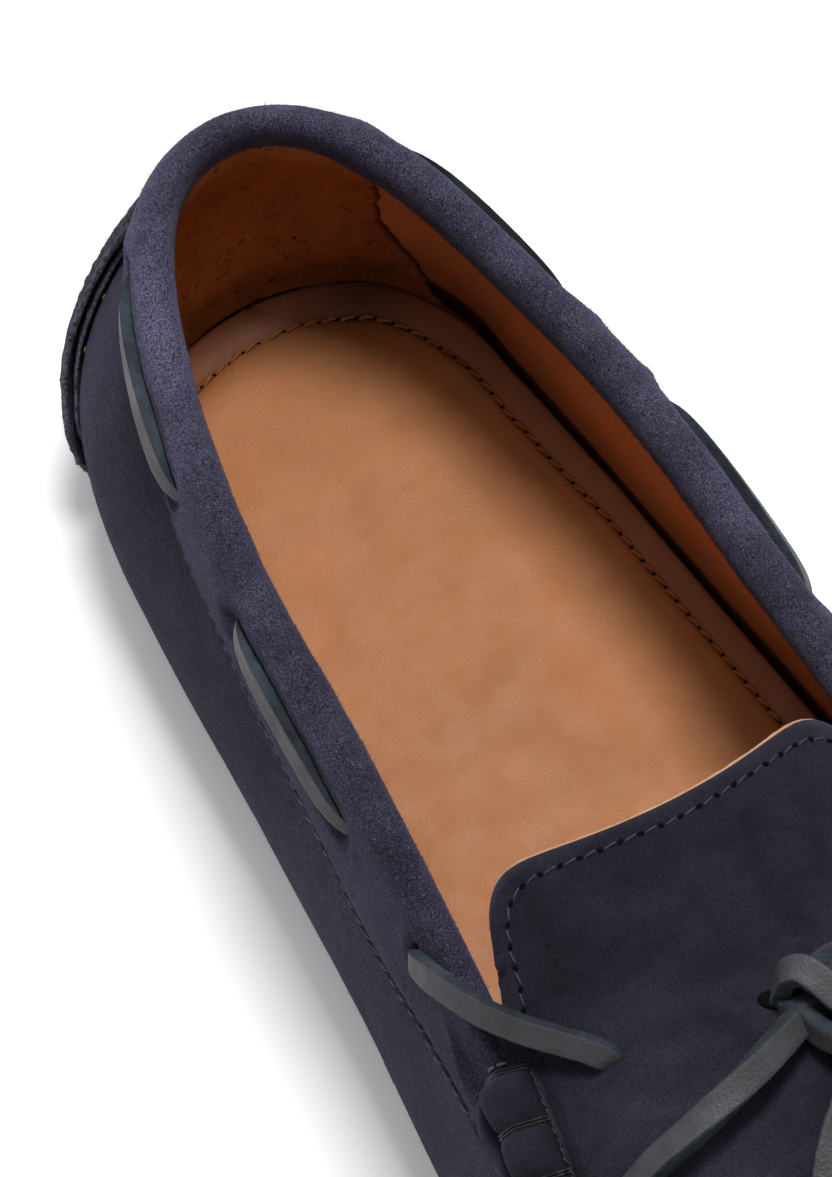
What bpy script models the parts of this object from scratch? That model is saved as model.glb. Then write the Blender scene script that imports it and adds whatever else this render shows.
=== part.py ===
"""Lace-up driving loafer, left shoe, as an assembly of separate solids.

The shoe is laid out in millimetres from the back of the heel: x runs from heel
to toe, y from the inner (medial) side to the outer (lateral) side, z up from
the floor. World() moves that layout to the part's own frame, with the origin
under the middle of the shoe, and turns it into metres.

Everything is read from one surface, the outside of the upper: a wall that runs
from a turned-in margin under the foot, round the tuck, up to the top line, and
an apron that closes the front and runs back as the tongue. The collar band,
the heel patch and the lace follow that surface at a small offset.
"""

import math

import bmesh
import bpy
import numpy as np

# ---------------------------------------------------------------- dimensions
MM = 0.001
ORIGIN_X = 144.29       # x of the part's origin, from the back of the heel
ORIGIN_Y = 2.185        # y of the part's origin, from the heel's own axis

GAP = 0.3               # between pieces that meet
WALL = 2.2              # upper: suede and lining together
SEAT = 5.5              # underside of the upper's margin at heel and ball
MARGIN = 8.0            # width of the margin turned in under the insole

BULGE_START, BULGE_END = 3.3, 288.0     # x of the widest line, heel and toe
TOP_START, TOP_END = 11.0, 260.0         # x of the top line, heel and toe

SPRING_FROM = 205.0     # x where the sole leaves the floor towards the toe
SPRING_RISE = 9.0       # height of the toe tip over the floor line

THROAT = 0.55           # fraction of the length where the apron becomes tongue
TONGUE_TIP = 133.0      # x of the tongue's free edge on the centre line
TONGUE_WAIST = 28.5     # half width of the tongue just behind the throat
TONGUE_END = 27.5       # half width at the free edge

RIDGE_HEIGHT = 1.2      # raised roll along the moccasin seam
RIDGE_WIDTH = 3.0
APRON_FOCUS = 234.0     # x where the apron's middle line ends near the toe

BAND_FACE = 1.8         # outside of the collar band over the wall
BAND_END = 0.526
GROOVE = 0.8            # how far a lace bar presses into the band
PATCH_THICK = 2.4       # heel patch

INSOLE_THICK = 3.3
INSOLE_CROWN = 0.9      # padding in the middle of the insole

SOLE_TOP = SEAT - GAP
SOLE_BOTTOM = 1.8       # underside of the plate over the floor
ARCH_RISE = 1.6         # hollow of the plate under the waist
STUD_RADIUS = 4.0
STUD_PITCH = 13.2

LACE_WIDE = 4.0
LACE_THICK = 2.4
BAR_THICK = 2.0         # the lace where it is drawn into the band

# One row for each section, heel to toe. t: fraction of the length. bulge_in,
# bulge_out: half widths at the widest line. bulge_z: its height over the seat's
# lift. tuck: how far the margin's fold lies inside the widest line. top_in,
# top_out, top_z: the top line, which is the mouth behind the throat and the
# moccasin seam in front of it. lean: slope of the wall at the top line.
SECTION_COLUMNS = ("t", "bulge_in", "bulge_out", "bulge_z", "tuck",
                   "top_in", "top_out", "top_z", "lean")
SECTIONS = (
    (0.00, 0.0, 0.0, 24.0, 8.0, 0.0, 0.0, 54.8, 86.0),
    (0.03, 21.8, 22.0, 23.0, 7.6, 14.0, 13.8, 54.2, 84.0),
    (0.08, 31.2, 31.0, 20.5, 6.6, 20.4, 20.5, 52.4, 81.0),
    (0.15, 34.8, 33.8, 18.5, 6.0, 24.9, 25.1, 51.0, 79.0),
    (0.25, 36.0, 36.2, 17.5, 6.0, 28.2, 29.7, 50.8, 77.0),
    (0.36, 37.1, 40.4, 17.0, 6.0, 29.3, 30.9, 52.2, 75.0),
    (0.47, 39.3, 44.6, 17.0, 6.0, 31.6, 31.8, 55.0, 70.0),
    (0.55, 41.5, 47.3, 17.0, 6.0, 33.2, 33.0, 54.6, 60.0),
    (0.64, 44.0, 49.4, 17.0, 6.0, 35.6, 35.4, 48.4, 52.0),
    (0.73, 45.8, 50.2, 17.0, 6.0, 36.4, 36.0, 44.4, 46.0),
    (0.82, 44.8, 46.4, 16.5, 6.2, 34.6, 34.2, 41.9, 40.0),
    (0.90, 38.8, 37.0, 16.0, 6.8, 29.2, 27.8, 40.2, 33.0),
    (0.96, 27.6, 23.8, 15.5, 7.4, 20.8, 18.4, 38.9, 27.0),
    (1.00, 3.0, -3.0, 15.0, 8.0, 2.0, -2.0, 38.3, 24.0),
)

# x, z: height of the apron and the tongue along the middle of the foot
CROWN_COLUMNS = ("x", "z")
CROWN = (
    (126.0, 72.0), (147.0, 69.0), (170.0, 61.5), (192.0, 54.2),
    (215.0, 48.8), (235.0, 44.6), (250.0, 41.2), (260.0, 38.3),
)

# colour, roughness of each material
LOOKS = {
    "suede": ((0.028, 0.028, 0.062, 1.0), 0.95),
    "rubber": ((0.018, 0.018, 0.030, 1.0), 0.70),
    "tan_leather": ((0.45, 0.22, 0.095, 1.0), 0.50),
    "lace_leather": ((0.055, 0.062, 0.075, 1.0), 0.45),
}


# ------------------------------------------------------------- interpolation
def loop_spline(nodes, values):
    """Smooth closed curve through values at the angles nodes, period 2 pi."""
    nodes, values = np.asarray(nodes, float), np.asarray(values, float)
    n = len(nodes)
    step = np.diff(np.append(nodes, nodes[0] + 2 * math.pi))
    matrix, right = np.zeros((n, n)), np.zeros(n)
    for i in range(n):
        before, after = step[i - 1], step[i]
        matrix[i, i - 1] += before
        matrix[i, i] += 2 * (before + after)
        matrix[i, (i + 1) % n] += after
        right[i] = 6 * ((values[(i + 1) % n] - values[i]) / after
                        - (values[i] - values[i - 1]) / before)
    bend = np.linalg.solve(matrix, right)

    def at(angle):
        angle = np.mod(np.asarray(angle, float) - nodes[0], 2 * math.pi) + nodes[0]
        i = np.clip(np.searchsorted(nodes, angle, side="right") - 1, 0, n - 1)
        j = (i + 1) % n
        h = step[i]
        b = (angle - nodes[i]) / h
        a = 1 - b
        return (a * values[i] + b * values[j]
                + ((a ** 3 - a) * bend[i] + (b ** 3 - b) * bend[j]) * h * h / 6)
    return at


def open_spline(xs, ys):
    """Monotone smooth curve through a short table."""
    xs, ys = np.asarray(xs, float), np.asarray(ys, float)
    h, d = np.diff(xs), np.diff(ys) / np.diff(xs)
    m = np.zeros(len(xs))
    m[0], m[-1] = d[0], d[-1]
    for i in range(1, len(xs) - 1):
        if d[i - 1] * d[i] > 0:
            w1, w2 = 2 * h[i] + h[i - 1], h[i] + 2 * h[i - 1]
            m[i] = (w1 + w2) / (w1 / d[i - 1] + w2 / d[i])

    def at(x):
        x = np.clip(np.asarray(x, float), xs[0], xs[-1])
        i = np.clip(np.searchsorted(xs, x, side="right") - 1, 0, len(h) - 1)
        t = (x - xs[i]) / h[i]
        return ((1 + 2 * t) * (1 - t) ** 2 * ys[i] + t * (1 - t) ** 2 * h[i] * m[i]
                + t * t * (3 - 2 * t) * ys[i + 1] + t * t * (t - 1) * h[i] * m[i + 1])
    return at


def angle_of(t):
    """Angle round the shoe of the lateral section at the fraction t."""
    return 2 * np.arcsin(np.sqrt(np.asarray(t, float)))


def column(name, mirror_name=None, sign=1.0):
    """Loop through one column, lateral side first, then back up the medial side."""
    here = SECTION_COLUMNS.index(name)
    there = SECTION_COLUMNS.index(mirror_name or name)
    lateral = [(float(angle_of(row[0])), row[here]) for row in SECTIONS]
    medial = [(2 * math.pi - float(angle_of(row[0])), sign * row[there])
              for row in reversed(SECTIONS[1:-1])]
    nodes, values = zip(*(lateral + medial))
    return loop_spline(nodes, values)


BULGE_Y = column("bulge_out", "bulge_in", -1.0)
BULGE_Z = column("bulge_z")
TUCK = column("tuck")
TOP_Y = column("top_out", "top_in", -1.0)
TOP_Z = column("top_z")
LEAN = column("lean")
CROWN_Z = open_spline(*zip(*CROWN))


# ------------------------------------------------------------ upper's surface
def lift(x):
    """Rise of the foot's underside towards the toe."""
    s = np.clip((x - SPRING_FROM) / (BULGE_END - SPRING_FROM), 0.0, 1.0)
    return SPRING_RISE * s * s


def stack(x, y, z):
    x, y, z = np.broadcast_arrays(np.asarray(x, float), y, z)
    return np.stack([x, y, z], axis=-1)


def bulge(phi):
    x = BULGE_START + (BULGE_END - BULGE_START) * (1 - np.cos(phi)) / 2
    return stack(x, BULGE_Y(phi), BULGE_Z(phi) + lift(x))


def top(phi):
    x = TOP_START + (TOP_END - TOP_START) * (1 - np.cos(phi)) / 2
    return stack(x, TOP_Y(phi), TOP_Z(phi))


def ring(phi, inset, z=0.0):
    """Outline inset from the widest line, z over the lifted floor line."""
    b = bulge(phi)
    x = b[..., 0] + inset * np.cos(phi)
    y = b[..., 1] - inset * np.sin(phi)
    return stack(x, y, z + lift(x))


def side(phi, s):
    """Wall between the widest line (s = 0) and the top line (s = 1)."""
    b, t = bulge(phi), top(phi)
    s = np.asarray(s, float)[..., None]
    flat = (t - b) * np.array([1.0, 1.0, 0.0])
    flat = flat / np.linalg.norm(flat, axis=-1, keepdims=True)
    reach = np.linalg.norm(t - b, axis=-1, keepdims=True)
    lean = np.radians(LEAN(phi))[..., None]
    up = np.array([0.0, 0.0, 1.0])
    start = up * reach * 1.02
    end = (flat * np.cos(lean) + up * np.sin(lean)) * reach
    return ((2 * s ** 3 - 3 * s ** 2 + 1) * b + (s ** 3 - 2 * s ** 2 + s) * start
            + (3 * s ** 2 - 2 * s ** 3) * t + (s ** 3 - s ** 2) * end)


def tuck(phi, turn):
    """Round fold from the seat (turn = 0) up to the widest line (turn = 1)."""
    b = bulge(phi)
    f = ring(phi, TUCK(phi), SEAT)
    a = np.asarray(turn, float) * math.pi / 2
    xy = f[..., :2] + (b - f)[..., :2] * np.sin(a)[..., None]
    z = f[..., 2] + (b - f)[..., 2] * (1 - np.cos(a))
    return stack(xy[..., 0], xy[..., 1], z)


def wall(phi, v):
    """Whole wall: v from -1 at the seat, 0 at the widest line, to 1 at the top."""
    phi, v = np.broadcast_arrays(np.asarray(phi, float), np.asarray(v, float))
    low = tuck(phi, np.clip(v + 1, 0, 1))
    high = side(phi, np.clip(v, 0, 1))
    return np.where((v < 0)[..., None], low, high)


def wall_normal(phi, v, e=1e-3):
    """Unit outward normal of the wall."""
    v = np.asarray(v, float)
    along = wall(phi + e, v) - wall(phi - e, v)
    rise = wall(phi, np.clip(v + e, -1, 1)) - wall(phi, np.clip(v - e, -1, 1))
    n = np.cross(rise, along)
    return n / np.linalg.norm(n, axis=-1, keepdims=True)


FINE = np.linspace(1.0, -1.0, 121)


def v_at_drop(phi, drop):
    """v of the point that lies drop mm down the wall from the top line."""
    line = wall(phi, FINE)
    run = np.concatenate([[0.0], np.cumsum(np.linalg.norm(np.diff(line, axis=0), axis=1))])
    return float(np.interp(drop, run, FINE))


def off_wall(phi, drop, out):
    """Point drop mm below the top line and out mm outside the wall."""
    if drop >= 0:
        v = v_at_drop(phi, drop)
        return wall(phi, v) + wall_normal(phi, v) * out
    t = wall(phi, 1.0)
    up = t - wall(phi, 0.98)
    up = up / np.linalg.norm(up)
    return t + wall_normal(phi, 1.0) * out - up * drop


def apron_height(x, y):
    """Height of the apron, without the seam's roll, over a point in plan."""
    t = np.clip((x - TOP_START) / (TOP_END - TOP_START), 0.0, 1.0)
    phi = angle_of(t)
    a, b = TOP_Y(phi), TOP_Y(2 * math.pi - phi)
    middle, half = (a + b) / 2, np.maximum((a - b) / 2, 0.5)
    s = np.clip((y - middle) / half, -1.0, 1.0)
    edge = TOP_Z(phi)
    return edge + (CROWN_Z(x) - edge) * (1 - s * s)


def apron(phi, share):
    """Apron from the seam at phi (share = 0) to its middle line (share = 1)."""
    a, throat = top(phi), float(angle_of(THROAT))
    mirror = math.pi - abs(phi - math.pi)
    along = (mirror - throat) / (math.pi - throat)
    start = float(top(throat)[0])
    x = a[0] + (start + (APRON_FOCUS - start) * along - a[0]) * share
    t = (start + (APRON_FOCUS - start) * along - TOP_START) / (TOP_END - TOP_START)
    spine = float(angle_of(t))
    middle = float(TOP_Y(spine) + TOP_Y(2 * math.pi - spine)) / 2
    y = a[1] + (middle - a[1]) * share
    return np.array([x, y, float(apron_height(x, y))])


def tongue(run, across):
    """Tongue behind the throat: run from 0 at the throat to 1 at its free edge."""
    phi = float(angle_of(THROAT))
    x0, edge = float(top(phi)[0]), TONGUE_TIP - 4.0 * across ** 2 + 8.0 * across ** 14
    x = x0 + (edge - x0) * run
    middle = (TOP_Y(phi) + TOP_Y(2 * math.pi - phi)) / 2
    half = (TOP_Y(phi) - TOP_Y(2 * math.pi - phi)) / 2
    # drawn in behind the throat so that it clears the collar's lining side
    draw = np.clip((x0 - x) / 3.6, 0.0, 1.0)
    draw = draw * draw * (3 - 2 * draw)
    width = half + (TONGUE_WAIST - half) * draw + (TONGUE_END - TONGUE_WAIST) * run
    y = middle + across * width
    bow = (CROWN_Z(x0) - TOP_Z(phi)) / half ** 2
    return stack(x, y, CROWN_Z(x) - bow * (y - middle) ** 2)


# -------------------------------------------------------------- mesh building
def world(points):
    p = np.asarray(points, float) - np.array([ORIGIN_X, ORIGIN_Y, 0.0])
    return [tuple(c) for c in (p * MM).reshape(-1, 3)]


def make_object(name, bm, look, turn=True):
    if turn:
        bmesh.ops.recalc_face_normals(bm, faces=bm.faces)
    mesh = bpy.data.meshes.new(name)
    bm.to_mesh(mesh)
    bm.free()
    mesh.shade_smooth()
    obj = bpy.data.objects.new(name, mesh)
    colour, roughness = LOOKS[look]
    material = bpy.data.materials.new(name)
    material.use_nodes = True
    shader = material.node_tree.nodes["Principled BSDF"]
    shader.inputs["Base Color"].default_value = colour
    shader.inputs["Roughness"].default_value = roughness
    shader.inputs["Metallic"].default_value = 0.0
    mesh.materials.append(material)
    COLLECTION.objects.link(obj)
    return obj


def add_rows(bm, rows, closed):
    """Verts for rows of points and the faces between neighbouring rows."""
    grid = [[bm.verts.new(c) for c in world(row)] for row in rows]
    count = len(grid[0])
    for low, high in zip(grid, grid[1:]):
        for i in range(count if closed else count - 1):
            j = (i + 1) % count
            bm.faces.new((low[i], low[j], high[j], high[i]))
    return grid


def sweep(name, stations, look, cap=None):
    """Closed solid through a list of closed sections, capped at both ends.

    cap lists the end faces by the section's corners; without it an end is one face.
    """
    bm = bmesh.new()
    grid = add_rows(bm, stations, True)
    for corners in cap or [range(len(grid[0]))]:
        bm.faces.new([grid[0][i] for i in reversed(corners)])
        bm.faces.new([grid[-1][i] for i in corners])
    bmesh.ops.triangulate(bm, faces=[f for f in bm.faces if len(f.verts) > 4])
    return make_object(name, bm, look)


# ----------------------------------------------------------------- the pieces
SHARES = (0.0, 0.075, 0.15, 0.27, 0.45, 0.70, 1.0)
ACROSS = np.array([1 - s for s in SHARES] + [s - 1 for s in SHARES[-2::-1]])
WALL_ROWS = (-1.0, -0.78, -0.50, -0.24, 0.0, 0.20, 0.42, 0.64, 0.82, 0.93, 1.0)
APRON_STEPS = 19        # columns between the throat and the toe on each side
REAR_STEPS = 19         # columns from the heel to the band's end on each side


def rear_columns():
    """Angles of the columns from the heel to the band's end and the throat."""
    end, throat = float(angle_of(BAND_END)), float(angle_of(THROAT))
    band = end * np.linspace(0, 1, REAR_STEPS)
    return np.concatenate([band, [end + 0.3 * (throat - end), throat]])


def build_upper():
    """Quarters, vamp, apron and tongue: one hollow solid of one wall."""
    throat = float(angle_of(THROAT))
    rear = rear_columns()[:-1]
    front = np.linspace(throat, math.pi, APRON_STEPS + 1)
    half = np.concatenate([rear, front])
    phis = np.concatenate([half, 2 * math.pi - half[-2:0:-1]])
    count, first = len(phis), len(rear)
    bm = bmesh.new()
    rows = [ring(phis, TUCK(phis) + MARGIN, SEAT)]
    rows += [wall(phis, v) for v in WALL_ROWS]
    grid = add_rows(bm, rows, True)
    edge = grid[-1]

    # apron: columns from the seam on each side in to a shared middle line
    lateral, medial = [], []
    for k, phi in enumerate(front):
        spine = bm.verts.new(world(apron(phi, 1.0))[0])
        for columns, angle, start in ((lateral, phi, edge[first + k]),
                                      (medial, 2 * math.pi - phi, edge[(count - first - k) % count])):
            if columns is medial and k == APRON_STEPS:
                medial.append(lateral[-1])
                continue
            inner = [bm.verts.new(world(apron(angle, s))[0]) for s in SHARES[1:-1]]
            columns.append([start] + inner + [spine])
    for columns in (lateral, medial):
        for low, high in zip(columns, columns[1:]):
            for i in range(len(low) - 1):
                bm.faces.new((low[i], low[i + 1], high[i + 1], high[i]))

    # tongue: rows behind the throat
    below = lateral[0] + medial[0][-2::-1]
    for run in (0.18, 0.34, 0.56, 0.80, 1.0):
        line = [bm.verts.new(c) for c in world(tongue(run, ACROSS))]
        for i in range(len(line) - 1):
            bm.faces.new((below[i], below[i + 1], line[i + 1], line[i]))
        below = line
    bmesh.ops.recalc_face_normals(bm, faces=bm.faces)
    bm.normal_update()
    if lateral[APRON_STEPS // 2][-1].normal.z < 0:
        bmesh.ops.reverse_faces(bm, faces=bm.faces)
        bm.normal_update()

    # raised roll along the moccasin seam, from the throat round the toe
    seam = [edge[k].co.copy() for k in range(first, count - first + 1)]
    moved = []
    for v in bm.verts:
        near = min((v.co - p).length for p in seam) / MM
        if near < 3 * RIDGE_WIDTH:
            t = (v.co.x / MM + ORIGIN_X - TOP_START) / (TOP_END - TOP_START)
            fade = min(max((t - THROAT) / 0.03, 0.0), 1.0)
            moved.append((v, v.normal.copy(), fade * RIDGE_HEIGHT
                          * math.exp(-(near / RIDGE_WIDTH) ** 2)))
    for v, normal, height in moved:
        v.co += normal * height * MM
    obj = make_object("upper", bm, "suede", turn=False)
    shell = obj.modifiers.new("wall", "SOLIDIFY")
    shell.thickness = WALL * MM
    shell.offset = -1.0
    shell.use_even_offset = True
    return obj


def plate(name, outline, z_top, z_bottom, look, across=5, ribs=30, crown=0.0,
          top_inset=1.0, bottom_inset=1.0):
    """Closed plate on an outline, whose top and bottom heights are functions of x."""
    bm = bmesh.new()
    phis = np.linspace(0, math.pi, ribs + 1)
    spread = np.linspace(1, -1, across)

    def layer(inset, z_of, puff, drop=0.0):
        lines = []
        for phi in phis:
            a, b = ring(phi, inset + outline(phi)), ring(2 * math.pi - phi, inset + outline(phi))
            if phi in (phis[0], phis[-1]):
                p = a.copy()
                p[2] = z_of(p[0]) + drop
                lines.append([bm.verts.new(world(p)[0])])
                continue
            pts = []
            for s in spread:
                p = a * (1 + s) / 2 + b * (1 - s) / 2
                p[2] = z_of(p[0]) + drop + puff * (1 - s * s) ** 2 * math.sin(phi) ** 0.5
                pts.append(p)
            lines.append([bm.verts.new(c) for c in world(pts)])
        return lines

    def skin(lines):
        for low, high in zip(lines, lines[1:]):
            if len(low) == 1:
                for i in range(len(high) - 1):
                    bm.faces.new((low[0], high[i], high[i + 1]))
            elif len(high) == 1:
                for i in range(len(low) - 1):
                    bm.faces.new((high[0], low[i], low[i + 1]))
            else:
                for i in range(len(low) - 1):
                    bm.faces.new((low[i], low[i + 1], high[i + 1], high[i]))

    def border(lines):
        return ([lines[0][0]] + [line[0] for line in lines[1:-1]] + [lines[-1][0]]
                + [line[-1] for line in lines[-2:0:-1]])

    top_lines = layer(top_inset, z_top, crown)
    bottom_lines = layer(bottom_inset, z_bottom, 0.0)
    skin(top_lines)
    skin(bottom_lines)
    middle = []
    for a, b in zip(border(top_lines), border(bottom_lines)):
        middle.append((a, b))
    phi_loop = list(phis) + [2 * math.pi - p for p in phis[-2:0:-1]]
    rim = []
    for phi, (a, b) in zip(phi_loop, middle):
        p = ring(phi, outline(min(phi, 2 * math.pi - phi)))
        p[2] = (a.co.z + b.co.z) / 2 / MM
        rim.append(bm.verts.new(world(p)[0]))
    for loop in (border(top_lines), border(bottom_lines)):
        for i in range(len(rim)):
            j = (i + 1) % len(rim)
            bm.faces.new((loop[i], loop[j], rim[j], rim[i]))
    return make_object(name, bm, look)


def insole_inset(phi):
    """The insole stops a little inside the fold of the margin."""
    return float(TUCK(phi)) + 0.9 - 1.4 * math.sin(phi) ** 2


def build_insole():
    base = SEAT + WALL + GAP + 0.1
    return plate("insole", insole_inset,
                 lambda x: base + INSOLE_THICK + lift(x),
                 lambda x: base + lift(x), "tan_leather",
                 across=7, ribs=24, crown=INSOLE_CROWN, top_inset=0.5, bottom_inset=2.6)


def arch(x):
    """Hollow of the plate's underside between heel and ball."""
    s = np.clip((x - 82.0) / 74.0, 0.0, 1.0)
    return ARCH_RISE * math.sin(math.pi * s) ** 2


def sole_under(x):
    heel = max(0.0, (26.0 - x) / 22.0)
    return SOLE_BOTTOM + arch(x) + lift(x) + 1.0 * heel * heel


def sole_inset(phi):
    return float(TUCK(phi)) - 0.8


def stud_places():
    """Centres of the studs: rows across the shoe, kept inside the outline."""
    places = []
    x = 22.0
    row = 0
    while x < 272.0:
        t = (x - BULGE_START) / (BULGE_END - BULGE_START)
        phi = float(angle_of(t))
        in_waist = 92.0 < x < 146.0
        reach_out = float(ring(phi, sole_inset(phi))[1]) - STUD_RADIUS - 3.0
        reach_in = float(ring(2 * math.pi - phi, sole_inset(phi))[1]) + STUD_RADIUS + 3.0
        if not in_waist and reach_out - reach_in > STUD_PITCH:
            span = reach_out - reach_in
            count = max(2, int(span // STUD_PITCH) + (row % 2))
            for i in range(count):
                places.append((x, reach_in + span * i / (count - 1)))
        x += STUD_PITCH
        row += 1
    return places


def build_outsole():
    """Thin rubber plate with flat studs under heel and forefoot."""
    sole = plate("outsole", sole_inset, lambda x: SOLE_TOP + lift(x), sole_under,
                 "rubber", across=2, ribs=34)
    bm = bmesh.new()
    for x, y in stud_places():
        foot = float(lift(x))
        height = sole_under(x) + 0.9 - foot
        bm_one = bmesh.new()
        bmesh.ops.create_cone(bm_one, cap_ends=True, cap_tris=False, segments=8,
                              radius1=STUD_RADIUS * 0.86 * MM, radius2=STUD_RADIUS * MM,
                              depth=height * MM)
        centre = world([(x, y, foot + height / 2)])[0]
        bmesh.ops.translate(bm_one, vec=centre, verts=bm_one.verts)
        # each stud follows the rising floor line, so its foot lies on it
        for v in bm_one.verts:
            v.co.z += (float(lift(v.co.x / MM + ORIGIN_X)) - foot) * MM
        piece = bpy.data.meshes.new("stud")
        bm_one.to_mesh(piece)
        bm_one.free()
        bm.from_mesh(piece)
        bpy.data.meshes.remove(piece)
    mesh = bpy.data.meshes.new("studs")
    bm.to_mesh(mesh)
    bm.free()
    studs = bpy.data.objects.new("studs", mesh)
    studs.hide_render = True
    studs.display_type = "WIRE"
    CUTTERS.objects.link(studs)
    union = sole.modifiers.new("studs", "BOOLEAN")
    union.operation = "UNION"
    union.solver = "EXACT"
    union.object = studs
    return sole


# x, drop: height of the band's outer face below the top line
DROP_COLUMNS = ("x", "drop")
BAND_DROP = ((11.0, 9.6), (50.0, 10.4), (70.0, 12.2), (90.0, 15.0),
             (110.0, 16.2), (128.0, 16.0), (135.0, 13.6), (142.0, 8.6))

# the band's section, a casing rolled over the wall's edge and longer outside
# than inside. run: share of the band's drop, rise: added drop, out: outside the
# wall
BAND_COLUMNS = ("run", "rise", "out")
BAND_SECTION = (
    (1.0, 0.0, GAP), (1.0, 0.2, 1.0), (1.0, -1.2, 1.5), (0.66, 0.0, BAND_FACE),
    (0.34, 0.0, BAND_FACE), (0.0, 0.8, BAND_FACE - 0.1), (0.0, -1.2, 1.1),
    (0.0, -2.1, 0.1), (0.0, -2.4, -0.9), (0.0, -2.1, -1.9), (0.0, -1.2, -2.8),
    (0.0, 0.6, -3.3), (0.0, 2.6, -3.4), (0.0, 3.4, -3.0), (0.0, 3.3, -WALL - GAP),
    (0.0, 0.2, -WALL - GAP), (0.0, -0.5, -WALL - 0.1), (0.0, -0.5, 0.1),
    (0.0, 0.2, GAP), (0.5, 0.0, GAP),
)

# end faces of the band, between its outer and its inner corners
BAND_CAP = ((0, 1, 2), (0, 2, 3, 19), (19, 3, 4), (19, 4, 5, 18), (18, 5, 6, 7),
            (17, 18, 7), (17, 7, 8), (16, 17, 8, 9), (16, 9, 10), (15, 16, 10, 11),
            (14, 15, 11, 12), (14, 12, 13))

# name, side (+1 lateral, -1 medial), x at both ends, drop at both ends
BAR_COLUMNS = ("name", "side", "x0", "x1", "drop0", "drop1")
BARS = (
    ("lace_bar_rear_medial", -1, 23.5, 55.5, 2.2, 3.6),
    ("lace_bar_rear_lateral", 1, 23.5, 56.0, 2.8, 3.4),
    ("lace_bar_front_medial", -1, 73.0, 108.5, 3.0, 4.0),
    ("lace_bar_front_lateral", 1, 73.0, 109.0, 3.0, 4.0),
)


def band_drop(phi):
    return float(DROP_OF_X(float(top(phi)[0])))


DROP_OF_X = open_spline(*zip(*BAND_DROP))


def groove(phi):
    """Depth to which the band is pressed in under a lace bar."""
    x, y = float(top(phi)[0]), float(top(phi)[1])
    depth = 0.0
    for name, which, x0, x1, drop0, drop1 in BARS:
        if which * y > 0:
            inside = min(x - x0 + 5.0, x1 + 5.0 - x) / 5.0
            inside = min(max(inside, 0.0), 1.0)
            depth = max(depth, GROOVE * inside)
    return depth


def band_station(phi):
    fall, press = band_drop(phi), groove(phi)
    line = []
    for run, rise, out in BAND_SECTION:
        drop = run * fall + rise
        if out > 1.6 and drop < 7.0:
            out -= press
        line.append(off_wall(phi, drop, out))
    return np.array(line)


def build_band():
    half = [band_station(phi) for phi in rear_columns()[:REAR_STEPS]]
    other = [band_station(-phi) for phi in rear_columns()[1:REAR_STEPS]]
    return sweep("collar_band", other[::-1] + half, "suede", BAND_CAP)


# z, half angle round the heel (degrees): outline of the heel patch
PATCH_COLUMNS = ("z", "half_angle")
PATCH = ((7.0, 29.5), (14.0, 30.0), (20.0, 29.5), (25.0, 27.0), (31.0, 23.5),
         (36.0, 20.5), (42.0, 17.5))


def build_patch():
    """Layered suede patch over the back of the heel, under the collar band."""
    half = open_spline(*zip(*PATCH))
    bm = bmesh.new()
    top_v = v_at_drop(0.0, band_drop(0.0) + 0.7)
    levels = [v for v in WALL_ROWS[1:] if v < top_v - 0.08] + [top_v]
    rows = []
    for v in levels:
        reach = math.radians(float(half(float(wall(0.0, v)[2]))))
        line = []
        for phi in np.linspace(-reach, reach, 13):
            limit = v_at_drop(phi, band_drop(phi) + 0.7)
            w = limit if v == top_v else min(v, limit - 0.06)
            line.append(wall(phi, w) + wall_normal(phi, w) * GAP)
        rows.append(line)
    add_rows(bm, rows, False)
    obj = make_object("heel_patch", bm, "suede")
    mesh = obj.data
    # outward side of the sheet faces the back of the heel
    middle = mesh.polygons[len(mesh.polygons) // 2]
    if middle.normal.x > 0:
        mesh.flip_normals()
    skin = obj.modifiers.new("layers", "SOLIDIFY")
    skin.thickness = PATCH_THICK * MM
    skin.offset = 1.0
    skin.use_even_offset = True
    return obj


def strip(name, path, up, wide=LACE_WIDE, thick=LACE_THICK):
    """Flat leather thong along a path; up is the direction of its grain face."""
    path, up = np.asarray(path, float), np.asarray(up, float)
    along = np.gradient(path, axis=0)
    along /= np.linalg.norm(along, axis=1, keepdims=True)
    across = np.cross(along, up)
    across /= np.linalg.norm(across, axis=1, keepdims=True)
    face = np.cross(across, along)
    stations = []
    for p, a, f in zip(path, across, face):
        stations.append([p + a * (wide / 2 * i) + f * (thick / 2 * j)
                         for i, j in ((1, -0.7), (1, 0.7), (0.8, 1), (-0.8, 1),
                                      (-1, 0.7), (-1, -0.7), (-0.8, -1), (0.8, -1))])
    return sweep(name, stations, "lace_leather")


# the lace leaves the band's last hole, crosses the band's end and the notch
# beside the tongue, and goes down at a slit in the apron; y on the medial side
CROSS_COLUMNS = ("x", "y", "z", "turn")
CROSS = (
    (128.8, -36.2, 52.6, 8.0), (132.8, -36.2, 55.4, 20.0), (137.4, -35.2, 59.2, 42.0),
    (142.8, -32.8, 61.3, 62.0), (147.8, -29.7, 62.2, 72.0), (152.8, -25.8, 62.6, 74.0),
    (157.2, -21.0, 62.8, 76.0),
)

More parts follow.
